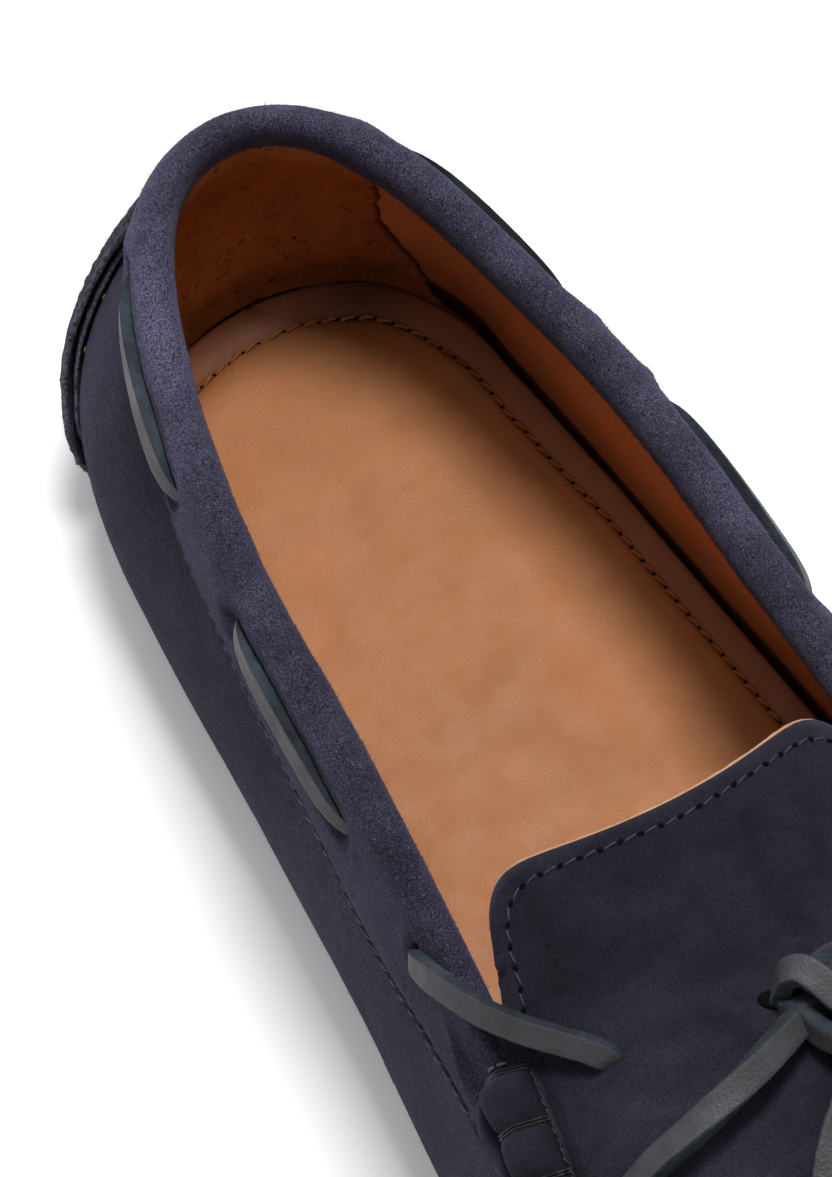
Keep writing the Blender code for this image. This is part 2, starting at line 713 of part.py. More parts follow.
# middle of the knot, and the two free ends: x, y, and height over the apron
KNOT = (165.0, 7.4)
KNOT_HALF = (6.0, 5.0, 3.4)
END_COLUMNS = ("x", "y", "over")
END_MEDIAL = (
    (161.4, 0.6, 1.8), (163.8, -3.4, 2.6), (166.4, -9.2, 3.4), (169.4, -17.6, 3.4),
    (172.2, -25.0, 3.2), (175.4, -31.5, 3.4), (179.0, -36.8, 3.6), (182.6, -41.0, 3.2),
    (185.6, -43.8, 2.6),
)
END_FRONT = (
    (171.6, 3.6, 1.8), (174.8, 0.4, 2.4), (178.6, -3.4, 2.4), (184.0, -7.4, 2.2),
    (191.0, -11.2, 2.0), (199.0, -14.4, 1.9), (207.0, -16.6, 1.8), (215.0, -18.0, 1.8),
    (222.0, -18.8, 1.8),
)


def top_angle(x, which):
    t = (x - TOP_START) / (TOP_END - TOP_START)
    return which * float(angle_of(t))


def build_bars():
    for name, which, x0, x1, drop0, drop1 in BARS:
        path, up = [], []
        for s in np.linspace(0, 1, 8):
            phi = top_angle(x0 + (x1 - x0) * s, which)
            drop = drop0 + (drop1 - drop0) * s
            out = BAND_FACE - GROOVE + GAP + BAR_THICK / 2 + 0.2
            path.append(off_wall(phi, drop, out))
            up.append(wall_normal(phi, v_at_drop(phi, drop)))
        strip(name, path, up, thick=BAR_THICK)


def through(table, count):
    """Smooth curve through the rows of a short table, evenly in its length."""
    rows = np.asarray(table, float)
    run = np.concatenate([[0.0], np.cumsum(np.linalg.norm(np.diff(rows[:, :3], axis=0), axis=1))])
    slope = np.gradient(rows, run, axis=0)
    out = []
    for d in np.linspace(0, run[-1], count):
        i = min(int(np.searchsorted(run, d, side="right")) - 1, len(run) - 2)
        h = run[i + 1] - run[i]
        t = (d - run[i]) / h
        out.append((1 + 2 * t) * (1 - t) ** 2 * rows[i] + t * (1 - t) ** 2 * h * slope[i]
                   + t * t * (3 - 2 * t) * rows[i + 1] + t * t * (t - 1) * h * slope[i + 1])
    return np.array(out)


def build_crossings():
    for name, sign in (("lace_cross_medial", 1.0), ("lace_cross_lateral", -1.0)):
        rows = through(CROSS, 10)
        path = [(x, y * sign, z) for x, y, z, turn in rows]
        up = [(0.0, -math.cos(math.radians(turn)) * sign, math.sin(math.radians(turn)))
              for x, y, z, turn in rows]
        strip(name, path, up)


def cover(x, y):
    """Height and outward normal of the upper's top side at a point in plan."""
    t = min(max((x - TOP_START) / (TOP_END - TOP_START), THROAT), 0.99)
    phi = float(angle_of(t))
    a, b = top(phi), top(2 * math.pi - phi)
    middle, half = (a[1] + b[1]) / 2, (a[1] - b[1]) / 2
    s = (y - middle) / half
    if abs(s) <= 1.0:
        rise = float(CROWN_Z(x)) - a[2]
        slope = -2 * s * rise / half
        ahead = float(CROWN_Z(x + 1.0) - CROWN_Z(x - 1.0)) / 2
        n = np.array([-ahead, -slope, 1.0])
        ridge = RIDGE_HEIGHT * math.exp(-(((1 - abs(s)) * half) / RIDGE_WIDTH) ** 2)
        return a[2] + rise * (1 - s * s) + ridge, n / np.linalg.norm(n)
    # past the seam: down the wall of that side
    which = phi if s > 0 else 2 * math.pi - phi
    line = wall(which, np.linspace(1.0, 0.0, 41))
    k = int(np.argmin(np.abs(line[:, 1] - y)))
    v = 1.0 - k / 40.0
    n = wall_normal(which, v)
    near = np.linalg.norm(line[k] - line[0])
    ridge = RIDGE_HEIGHT * math.exp(-(near / RIDGE_WIDTH) ** 2)
    return line[k][2] + ridge * n[2], n


def over_upper(table, count):
    """Path of a free end that lies over the upper, and the way its face looks."""
    path, up = [], []
    for x, y, over in table:
        z, n = cover(x, y)
        path.append(np.array([x, y, z]) + n * over)
        up.append(n)
    rows = np.hstack([np.array(path), np.array(up)])
    smooth = through(rows, count)
    return smooth[:, :3], smooth[:, 3:]


def build_knot():
    x, y = KNOT
    z = cover(x, y)[0] + GAP + KNOT_HALF[2] + 0.5
    bm = bmesh.new()
    bmesh.ops.create_uvsphere(bm, u_segments=14, v_segments=8, radius=MM)
    for v in bm.verts:
        v.co.x, v.co.y, v.co.z = (v.co.x * KNOT_HALF[0], v.co.y * KNOT_HALF[1],
                                  v.co.z * KNOT_HALF[2])
    # seated on the slope of the apron
    tilt = float(CROWN_Z(x + 2.0) - CROWN_Z(x - 2.0)) / 4
    for v in bm.verts:
        v.co.z += v.co.x * tilt
    bmesh.ops.translate(bm, vec=world([(x, y, z)])[0], verts=bm.verts)
    make_object("lace_knot", bm, "lace_leather")
    for name, table in (("lace_end_medial", END_MEDIAL), ("lace_end_front", END_FRONT)):
        path, up = over_upper(table, 15)
        strip(name, path, up)


# ------------------------------------------------------------------- assembly
for old in list(bpy.data.objects):
    bpy.data.objects.remove(old, do_unlink=True)
COLLECTION = bpy.data.collections.new("lace_up_loafer")
CUTTERS = bpy.data.collections.new("cutters")
bpy.context.scene.collection.children.link(COLLECTION)
bpy.context.scene.collection.children.link(CUTTERS)

build_upper()
build_insole()
build_outsole()
build_band()
build_patch()
build_bars()
build_crossings()
build_knot()
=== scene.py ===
"""Visual model of a lace-up driving loafer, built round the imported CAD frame.

Lengths in the tables are millimetres, measured from the back of the heel (x),
the heel's own axis (y, + to the outer side of this left shoe) and the floor (z).
"""

import math

import bpy
import numpy as np
from mathutils import Matrix, Vector
from mathutils.kdtree import KDTree

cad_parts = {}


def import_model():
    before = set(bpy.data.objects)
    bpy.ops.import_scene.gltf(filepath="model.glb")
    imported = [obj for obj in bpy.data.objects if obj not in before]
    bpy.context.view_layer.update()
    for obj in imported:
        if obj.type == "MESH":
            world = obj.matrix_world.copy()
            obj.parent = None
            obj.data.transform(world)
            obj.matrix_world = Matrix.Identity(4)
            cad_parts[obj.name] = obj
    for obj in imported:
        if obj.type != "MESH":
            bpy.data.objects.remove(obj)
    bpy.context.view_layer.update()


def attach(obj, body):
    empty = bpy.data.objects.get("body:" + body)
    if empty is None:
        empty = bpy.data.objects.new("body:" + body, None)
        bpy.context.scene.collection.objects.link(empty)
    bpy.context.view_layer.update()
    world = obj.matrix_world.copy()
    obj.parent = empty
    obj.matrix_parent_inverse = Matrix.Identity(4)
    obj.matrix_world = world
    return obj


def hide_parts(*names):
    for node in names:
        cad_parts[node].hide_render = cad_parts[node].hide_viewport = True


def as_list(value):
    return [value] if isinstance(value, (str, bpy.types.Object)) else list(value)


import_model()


MM = 0.001
ORIGIN = np.array([144.29, 2.185, 0.0])
WALL = 2.2
SEAT = 5.5
MARGIN = 8.0
BULGE_START, BULGE_END = 3.3, 288.0
TOP_START, TOP_END = 11.0, 260.0
SPRING_FROM, SPRING_RISE = 205.0, 9.0
THROAT = 0.55
TONGUE_TIP, TONGUE_WAIST, TONGUE_END = 133.4, 31.4, 27.5
APRON_FOCUS = 234.0
SECTION_COLUMNS = ("t", "bulge_in", "bulge_out", "bulge_z", "tuck",
                   "top_in", "top_out", "top_z", "lean")
SECTIONS = (
    (0.00, 0.0, 0.0, 24.0, 8.0, 0.0, 0.0, 54.8, 86.0),
    (0.03, 21.8, 22.0, 23.0, 7.6, 14.0, 13.8, 54.2, 84.0),
    (0.08, 31.2, 31.0, 20.5, 6.6, 20.4, 20.5, 52.4, 81.0),
    (0.15, 34.8, 33.8, 18.5, 6.0, 24.9, 25.1, 51.0, 79.0),
    (0.25, 36.0, 36.2, 17.5, 6.0, 28.2, 29.7, 50.8, 77.0),
    (0.36, 37.1, 40.4, 17.0, 6.0, 29.3, 30.9, 52.2, 75.0),
    (0.47, 39.3, 44.6, 17.0, 6.0, 31.6, 31.8, 55.0, 70.0),
    (0.55, 41.5, 47.3, 17.0, 6.0, 33.2, 33.0, 54.6, 60.0),
    (0.64, 44.0, 49.4, 17.0, 6.0, 35.6, 35.4, 48.4, 52.0),
    (0.73, 45.8, 50.2, 17.0, 6.0, 36.4, 36.0, 44.4, 46.0),
    (0.82, 44.8, 46.4, 16.5, 6.2, 34.6, 34.2, 41.9, 40.0),
    (0.90, 38.8, 37.0, 16.0, 6.8, 29.2, 27.8, 40.2, 33.0),
    (0.96, 27.6, 23.8, 15.5, 7.4, 20.8, 18.4, 38.9, 27.0),
    (1.00, 3.0, -3.0, 15.0, 8.0, 2.0, -2.0, 38.3, 24.0),
)
CROWN = (
    (126.0, 72.0), (147.0, 69.0), (170.0, 61.5), (192.0, 54.2),
    (215.0, 48.8), (235.0, 44.6), (250.0, 41.2), (260.0, 38.3),
)


def loop_spline(nodes, values):
    nodes, values = np.asarray(nodes, float), np.asarray(values, float)
    n = len(nodes)
    step = np.diff(np.append(nodes, nodes[0] + 2 * math.pi))
    matrix, right = np.zeros((n, n)), np.zeros(n)
    for i in range(n):
        before, after = step[i - 1], step[i]
        matrix[i, i - 1] += before
        matrix[i, i] += 2 * (before + after)
        matrix[i, (i + 1) % n] += after
        right[i] = 6 * ((values[(i + 1) % n] - values[i]) / after
                        - (values[i] - values[i - 1]) / before)
    bend = np.linalg.solve(matrix, right)

    def at(angle):
        angle = np.mod(np.asarray(angle, float) - nodes[0], 2 * math.pi) + nodes[0]
        i = np.clip(np.searchsorted(nodes, angle, side="right") - 1, 0, n - 1)
        j = (i + 1) % n
        h = step[i]
        b = (angle - nodes[i]) / h
        a = 1 - b
        return (a * values[i] + b * values[j]
                + ((a ** 3 - a) * bend[i] + (b ** 3 - b) * bend[j]) * h * h / 6)
    return at


def open_spline(xs, ys):
    xs, ys = np.asarray(xs, float), np.asarray(ys, float)
    h, d = np.diff(xs), np.diff(ys) / np.diff(xs)
    m = np.zeros(len(xs))
    m[0], m[-1] = d[0], d[-1]
    for i in range(1, len(xs) - 1):
        if d[i - 1] * d[i] > 0:
            w1, w2 = 2 * h[i] + h[i - 1], h[i] + 2 * h[i - 1]
            m[i] = (w1 + w2) / (w1 / d[i - 1] + w2 / d[i])

    def at(x):
        x = np.clip(np.asarray(x, float), xs[0], xs[-1])
        i = np.clip(np.searchsorted(xs, x, side="right") - 1, 0, len(h) - 1)
        t = (x - xs[i]) / h[i]
        return ((1 + 2 * t) * (1 - t) ** 2 * ys[i] + t * (1 - t) ** 2 * h[i] * m[i]
                + t * t * (3 - 2 * t) * ys[i + 1] + t * t * (t - 1) * h[i] * m[i + 1])
    return at


def angle_of(t):
    return 2 * np.arcsin(np.sqrt(np.clip(np.asarray(t, float), 0, 1)))


def column(name, mirror_name=None, sign=1.0):
    here = SECTION_COLUMNS.index(name)
    there = SECTION_COLUMNS.index(mirror_name or name)
    lateral = [(float(angle_of(row[0])), row[here]) for row in SECTIONS]
    medial = [(2 * math.pi - float(angle_of(row[0])), sign * row[there])
              for row in reversed(SECTIONS[1:-1])]
    nodes, values = zip(*(lateral + medial))
    return loop_spline(nodes, values)


BULGE_Y = column("bulge_out", "bulge_in", -1.0)
BULGE_Z = column("bulge_z")
TUCK = column("tuck")
TOP_Y = column("top_out", "top_in", -1.0)
TOP_Z = column("top_z")
LEAN = column("lean")
CROWN_Z = open_spline(*zip(*CROWN))


def lift(x):
    s = np.clip((np.asarray(x, float) - SPRING_FROM) / (BULGE_END - SPRING_FROM), 0.0, 1.0)
    return SPRING_RISE * s * s


def stack(x, y, z):
    x, y, z = np.broadcast_arrays(np.asarray(x, float), y, z)
    return np.stack([x, y, z], axis=-1)


def bulge(phi):
    x = BULGE_START + (BULGE_END - BULGE_START) * (1 - np.cos(phi)) / 2
    return stack(x, BULGE_Y(phi), BULGE_Z(phi) + lift(x))


def top(phi):
    x = TOP_START + (TOP_END - TOP_START) * (1 - np.cos(phi)) / 2
    return stack(x, TOP_Y(phi), TOP_Z(phi))


def ring(phi, inset, z=0.0):
    b = bulge(phi)
    x = b[..., 0] + inset * np.cos(phi)
    y = b[..., 1] - inset * np.sin(phi)
    return stack(x, y, z + lift(x))


def side(phi, s):
    b, t = bulge(phi), top(phi)
    s = np.asarray(s, float)[..., None]
    flat = (t - b) * np.array([1.0, 1.0, 0.0])
    flat = flat / np.linalg.norm(flat, axis=-1, keepdims=True)
    reach = np.linalg.norm(t - b, axis=-1, keepdims=True)
    lean = np.radians(LEAN(phi))[..., None]
    up = np.array([0.0, 0.0, 1.0])
    start = up * reach * 1.02
    end = (flat * np.cos(lean) + up * np.sin(lean)) * reach
    return ((2 * s ** 3 - 3 * s ** 2 + 1) * b + (s ** 3 - 2 * s ** 2 + s) * start
            + (3 * s ** 2 - 2 * s ** 3) * t + (s ** 3 - s ** 2) * end)


def tuck(phi, turn):
    b = bulge(phi)
    f = ring(phi, TUCK(phi), SEAT)
    a = np.asarray(turn, float) * math.pi / 2
    xy = f[..., :2] + (b - f)[..., :2] * np.sin(a)[..., None]
    z = f[..., 2] + (b - f)[..., 2] * (1 - np.cos(a))
    return stack(xy[..., 0], xy[..., 1], z)


def wall(phi, v):
    phi, v = np.broadcast_arrays(np.asarray(phi, float), np.asarray(v, float))
    low = tuck(phi, np.clip(v + 1, 0, 1))
    high = side(phi, np.clip(v, 0, 1))
    return np.where((v < 0)[..., None], low, high)


def wall_normal(phi, v, e=1e-3):
    v = np.asarray(v, float)
    along = wall(phi + e, v) - wall(phi - e, v)
    rise = wall(phi, np.clip(v + e, -1, 1)) - wall(phi, np.clip(v - e, -1, 1))
    n = np.cross(rise, along)
    return n / np.linalg.norm(n, axis=-1, keepdims=True)


FINE = np.linspace(1.0, -1.0, 241)


def v_at_drops(phi, drops):
    """v of the points that lie so far down the wall from the top line at one phi."""
    line = wall(phi, FINE)
    run = np.concatenate([[0.0], np.cumsum(np.linalg.norm(np.diff(line, axis=0), axis=1))])
    return np.interp(drops, run, FINE)


def off_wall(phi, drops, outs):
    """Points drops mm below the top line and outs mm outside the wall, at one phi."""
    drops, outs = np.broadcast_arrays(np.atleast_1d(np.asarray(drops, float)), outs)
    v = v_at_drops(phi, np.maximum(drops, 0.0))
    p = wall(phi, v)
    n = wall_normal(phi, v)
    t = wall(phi, 1.0)
    up = t - wall(phi, 0.98)
    up = up / np.linalg.norm(up)
    over = np.minimum(drops, 0.0)[:, None]
    return p + n * outs[:, None] - up * over


def apron_height(x, y):
    t = np.clip((x - TOP_START) / (TOP_END - TOP_START), 0.0, 1.0)
    phi = angle_of(t)
    a, b = TOP_Y(phi), TOP_Y(2 * math.pi - phi)
    middle, half = (a + b) / 2, np.maximum((a - b) / 2, 0.5)
    s = np.clip((y - middle) / half, -1.0, 1.0)
    edge = TOP_Z(phi)
    return edge + (CROWN_Z(x) - edge) * (1 - s * s)


def apron(phi, share):
    """Apron from the seam at phi (share = 0) to its middle line (share = 1)."""
    phi, share = np.broadcast_arrays(np.asarray(phi, float), np.asarray(share, float))
    a, throat = top(phi), float(angle_of(THROAT))
    mirror = math.pi - np.abs(phi - math.pi)
    along = (mirror - throat) / (math.pi - throat)
    start = float(top(throat)[0])
    x = a[..., 0] + (start + (APRON_FOCUS - start) * along - a[..., 0]) * share
    t = (start + (APRON_FOCUS - start) * along - TOP_START) / (TOP_END - TOP_START)
    spine = angle_of(t)
    middle = (TOP_Y(spine) + TOP_Y(2 * math.pi - spine)) / 2
    y = a[..., 1] + (middle - a[..., 1]) * share
    return stack(x, y, apron_height(x, y))


def tongue(run, across):
    phi = float(angle_of(THROAT))
    run, across = np.broadcast_arrays(np.asarray(run, float), np.asarray(across, float))
    x0, edge = float(top(phi)[0]), TONGUE_TIP - 8.05 * across ** 2 + 13.0 * np.abs(across) ** 10.2
    x = x0 + (edge - x0) * run
    middle = (TOP_Y(phi) + TOP_Y(2 * math.pi - phi)) / 2
    half = (TOP_Y(phi) - TOP_Y(2 * math.pi - phi)) / 2
    draw = np.clip((x0 - x) / 3.6, 0.0, 1.0)
    draw = draw * draw * (3 - 2 * draw)
    width = half + (TONGUE_WAIST - half) * draw + (TONGUE_END - TONGUE_WAIST) * run
    y = middle + across * width
    bow = (CROWN_Z(x0) - TOP_Z(phi)) / half ** 2
    return stack(x, y, CROWN_Z(x) - bow * (y - middle) ** 2)


def top_angle(x, which=1.0):
    return which * angle_of((np.asarray(x, float) - TOP_START) / (TOP_END - TOP_START))


# ------------------------------------------------------------------ mesh tools
def noise3(p, scale, seed=0):
    """Smooth value noise from -1 to 1 on points in millimetres."""
    q = np.asarray(p, float) * scale + seed * 17.31
    i = np.floor(q).astype(np.int64)
    f = q - i
    u = f * f * (3 - 2 * f)
    total = np.zeros(q.shape[:-1])
    for dx in (0, 1):
        for dy in (0, 1):
            for dz in (0, 1):
                n = ((i[..., 0] + dx) * 73856093) ^ ((i[..., 1] + dy) * 19349663) \
                    ^ ((i[..., 2] + dz) * 83492791) ^ (seed * 2654435)
                n = (((n ^ (n >> 13)) & 0x3FFFFFFF) * 1274126177) & 0x7FFFFFFF
                n = (n ^ (n >> 11)) & 0xFFFF
                w = ((u[..., 0] if dx else 1 - u[..., 0])
                     * (u[..., 1] if dy else 1 - u[..., 1])
                     * (u[..., 2] if dz else 1 - u[..., 2]))
                total += w * (n / 32767.5 - 1)
    return total


def smooth(a, b, x):
    t = np.clip((np.asarray(x, float) - a) / (b - a), 0.0, 1.0)
    return t * t * (3 - 2 * t)


def bell(x, width):
    return np.exp(-(np.asarray(x, float) / width) ** 2)


def world(points):
    return (np.asarray(points, float) - ORIGIN) * MM


class Soup:
    """Verts and faces gathered for one object; verts in millimetres."""

    def __init__(self):
        self.verts, self.faces, self.tones, self.mats, self.count = [], [], [], [], 0

    def add(self, verts, faces, tone=0.0, mat=0):
        verts = np.asarray(verts, float).reshape(-1, 3)
        start = self.count
        self.verts.append(verts)
        self.faces.extend((np.asarray(f) + start).tolist() for f in faces)
        self.mats.extend([mat] * len(faces))
        tone = np.broadcast_to(np.asarray(tone, float), (len(verts),))
        self.tones.append(tone)
        self.count += len(verts)
        return start

    def grid(self, points, closed_u=False, closed_v=False, tone=0.0, cap=False, mat=0):
        """points: rows x columns x 3. closed_u joins the columns' ends."""
        points = np.asarray(points, float)
        rows, cols = points.shape[:2]
        faces = []
        r = np.arange(rows if closed_v else rows - 1)
        c = np.arange(cols if closed_u else cols - 1)
        rr, cc = np.meshgrid(r, c, indexing="ij")
        a = rr * cols + cc
        b = rr * cols + (cc + 1) % cols
        d = ((rr + 1) % rows) * cols + cc
        e = ((rr + 1) % rows) * cols + (cc + 1) % cols
        faces = np.stack([a, b, e, d], axis=-1).reshape(-1, 4)
        if np.ndim(tone) == 2:
            tone = np.asarray(tone).reshape(-1)
        faces = list(faces)
        if cap:
            faces = faces + [np.arange(cols)[::-1], np.arange(cols) + (rows - 1) * cols]
        return self.add(points, faces, tone, mat)

    def sheet(self, front, back, tone=0.0):
        """Closed thin sheet: a front and a back face, both rows x columns x 3."""
        front, back = np.asarray(front, float), np.asarray(back, float)
        rows, cols = front.shape[:2]
        ringed = np.concatenate([front, back[:, ::-1]], axis=1)
        start = self.grid(ringed, closed_u=True, tone=tone)
        ends = []
        for base in (0, (rows - 1) * 2 * cols):
            for i in range(cols - 1):
                face = [base + i, base + i + 1, base + 2 * cols - 2 - i, base + 2 * cols - 1 - i]
                ends.append(face[::-1] if base == 0 else face)
        self.faces.extend([[k + start for k in f] for f in ends])
        self.mats.extend([0] * len(ends))

    def build(self, name, materials, node_slot, flip=False, recalc=True):
        mesh = bpy.data.meshes.new(name)
        verts = world(np.concatenate(self.verts))
        mesh.from_pydata(verts.tolist(), [], self.faces)
        mesh.update()
        tones = np.concatenate(self.tones)
        layer = mesh.attributes.new("tone", "FLOAT", "POINT")
        layer.data.foreach_set("value", tones.astype(np.float32))
        if recalc:
            import bmesh
            bm = bmesh.new()
            bm.from_mesh(mesh)
            bmesh.ops.recalc_face_normals(bm, faces=bm.faces)
            bm.to_mesh(mesh)
            bm.free()
        if flip:
            mesh.flip_normals()
        mesh.shade_smooth()
        for m in materials if isinstance(materials, (list, tuple)) else [materials]:
            mesh.materials.append(m)
        if max(self.mats) > 0:
            mesh.polygons.foreach_set("material_index", np.array(self.mats, np.int32))
        obj = bpy.data.objects.new(name, mesh)
        bpy.context.scene.collection.objects.link(obj)
        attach(obj, "root")
        return obj


def solidify(obj, thickness, offset=-1.0, even=True):
    mod = obj.modifiers.new("thickness", "SOLIDIFY")
    mod.thickness = thickness * MM
    mod.offset = offset
    mod.use_even_offset = even
    return mod


def resample(rows, count=None, step=None):
    """Smooth curve through table rows, evenly spaced by the length of its xyz."""
    rows = np.asarray(rows, float)
    run = np.concatenate([[0.0], np.cumsum(np.linalg.norm(np.diff(rows[:, :3], axis=0), axis=1))])
    if count is None:
        count = max(3, int(round(run[-1] / step)) + 1)
    slope = np.gradient(rows, run, axis=0)
    d = np.linspace(0, run[-1], count)
    i = np.clip(np.searchsorted(run, d, side="right") - 1, 0, len(run) - 2)
    h = (run[i + 1] - run[i])[:, None]
    t = ((d - run[i])[:, None]) / h
    return ((1 + 2 * t) * (1 - t) ** 2 * rows[i] + t * (1 - t) ** 2 * h * slope[i]
            + t * t * (3 - 2 * t) * rows[i + 1] + t * t * (t - 1) * h * slope[i + 1])


def unit(v):
    return v / np.maximum(np.linalg.norm(v, axis=-1, keepdims=True), 1e-9)


def frames(path, up):
    """Unit vectors along, across and up for a path with given up directions."""
    along = unit(np.gradient(path, axis=0))
    across = unit(np.cross(along, up))
    return along, across, unit(np.cross(across, along))


def tube(soup, path, radius, sides=7, tone=0.0, flat=1.0, up=None, taper=True, mat=0):
    """Round thread along a path; its ends close to a point."""
    path = np.asarray(path, float)
    if up is None:
        up = np.broadcast_to(np.array([0.13, 0.21, 0.97]), path.shape)
    along, across, face = frames(path, np.asarray(up, float))
    n = len(path)
    size = np.full(n, float(radius)) if np.ndim(radius) == 0 else np.asarray(radius, float).copy()
    if taper:
        size[0] *= 0.45
        size[-1] *= 0.45
    ang = np.linspace(0, 2 * math.pi, sides, endpoint=False)
    ringp = (path[:, None] + across[:, None] * (np.cos(ang)[None, :, None] * size[:, None, None])
             + face[:, None] * (np.sin(ang)[None, :, None] * size[:, None, None] * flat))
    soup.grid(ringp, closed_u=True, tone=tone, cap=True, mat=mat)


def stitches(soup, path, up, pitch, length, radius, sink=0.25, skew=0.0, start=0.0,
             tone=0.0, rise=0.0):
    """Row of short thread stitches whose ends dip into the surface."""
    run = np.concatenate([[0.0], np.cumsum(np.linalg.norm(np.diff(path, axis=0), axis=1))])
    spots = []
    d = start + pitch / 2
    while d < run[-1] - pitch / 2:
        ts = np.linspace(-0.5, 0.5, 7)
        at = d + ts * length
        p = np.stack([np.interp(at, run, path[:, k]) for k in range(3)], axis=1)
        u = unit(np.stack([np.interp(at, run, up[:, k]) for k in range(3)], axis=1))
        a = unit(p[-1] - p[0])
        side_v = unit(np.cross(u[3], a))
        wob = 0.12 * math.sin(d * 12.9898) + 0.08 * math.sin(d * 4.1)
        p = p + u * ((radius * 0.55 + rise) * (1 - (2 * ts) ** 4) - sink * (2 * ts) ** 4)[:, None]
        p = p + side_v * (ts * skew * length + wob * radius)[:, None]
        tube(soup, p, radius * (1 + 0.12 * math.sin(d * 7.7)), sides=6, up=u, tone=tone)
        spots.append((d + length / 2 + (pitch - length) / 2))
        d += pitch
    return np.array(spots), run


def discs(soup, path, up, run, spots, radius, lift_by=0.05, squash=1.0, tone=0.0):
    """Small near-black discs on a surface: painted shade in its needle holes."""
    for d in spots:
        if d > run[-1]:
            continue
        p = np.array([np.interp(d, run, path[:, k]) for k in range(3)])
        u = unit(np.array([np.interp(d, run, up[:, k]) for k in range(3)]))
        a = unit(np.array([np.interp(d + 0.5, run, path[:, k]) for k in range(3)])
                 - np.array([np.interp(d - 0.5, run, path[:, k]) for k in range(3)]))
        b = unit(np.cross(u, a))
        a = np.cross(b, u)
        ang = np.linspace(0, 2 * math.pi, 9, endpoint=False)
        wob = 1 + 0.18 * np.sin(ang * 2 + d * 3.1)
        rows = []
        for r, h in ((0.05, 0.10), (0.6, 0.07), (1.0, 0.0), (0.9, -0.25)):
            rows.append(p + u * (lift_by + h * radius)
                        + (a * (np.cos(ang) * r * radius * squash * wob)[:, None]
                           + b * (np.sin(ang) * r * radius * wob)[:, None]))
        soup.grid(np.array(rows), closed_u=True, tone=tone, cap=True)


def ribbon(path, up, wide, thick, corner=0.35, roll=None, sides=5):
    """Rounded flat leather section swept along a path. Returns rows and a mask
    that is 1 on the cut edges and 0 on the flat faces."""
    path, up = np.asarray(path, float), unit(np.asarray(up, float))
    along, across, face = frames(path, up)
    if roll is not None:
        c, s = np.cos(roll)[:, None], np.sin(roll)[:, None]
        across, face = across * c + face * s, face * c - across * s
    n = len(path)
    wide = np.broadcast_to(np.asarray(wide, float), (n,))
    thick = np.broadcast_to(np.asarray(thick, float), (n,))
    pts, edge = [], []
    half = [(1.0, -0.62), (1.0, -0.2), (1.0, 0.2), (1.0, 0.62), (0.97, 0.88), (0.88, 1.0),
            (0.60, 1.02), (0.3, 0.99), (0.0, 0.98), (-0.3, 0.99), (-0.60, 1.02), (-0.88, 1.0),
            (-0.97, 0.88), (-1.0, 0.62), (-1.0, 0.2), (-1.0, -0.2), (-1.0, -0.62), (-0.97, -0.88),
            (-0.88, -1.0), (-0.45, -1.0), (0.0, -1.0), (0.45, -1.0), (0.88, -1.0), (0.97, -0.88)]
    for a, b in half:
        pts.append(path + across * (a * wide / 2)[:, None] + face * (b * thick / 2)[:, None])
        edge.append(1.0 if abs(a) > 0.93 or b < -0.7 else 0.0)
    rows = np.stack(pts, axis=1)
    return rows, np.broadcast_to(np.array(edge), rows.shape[:2]), face, across


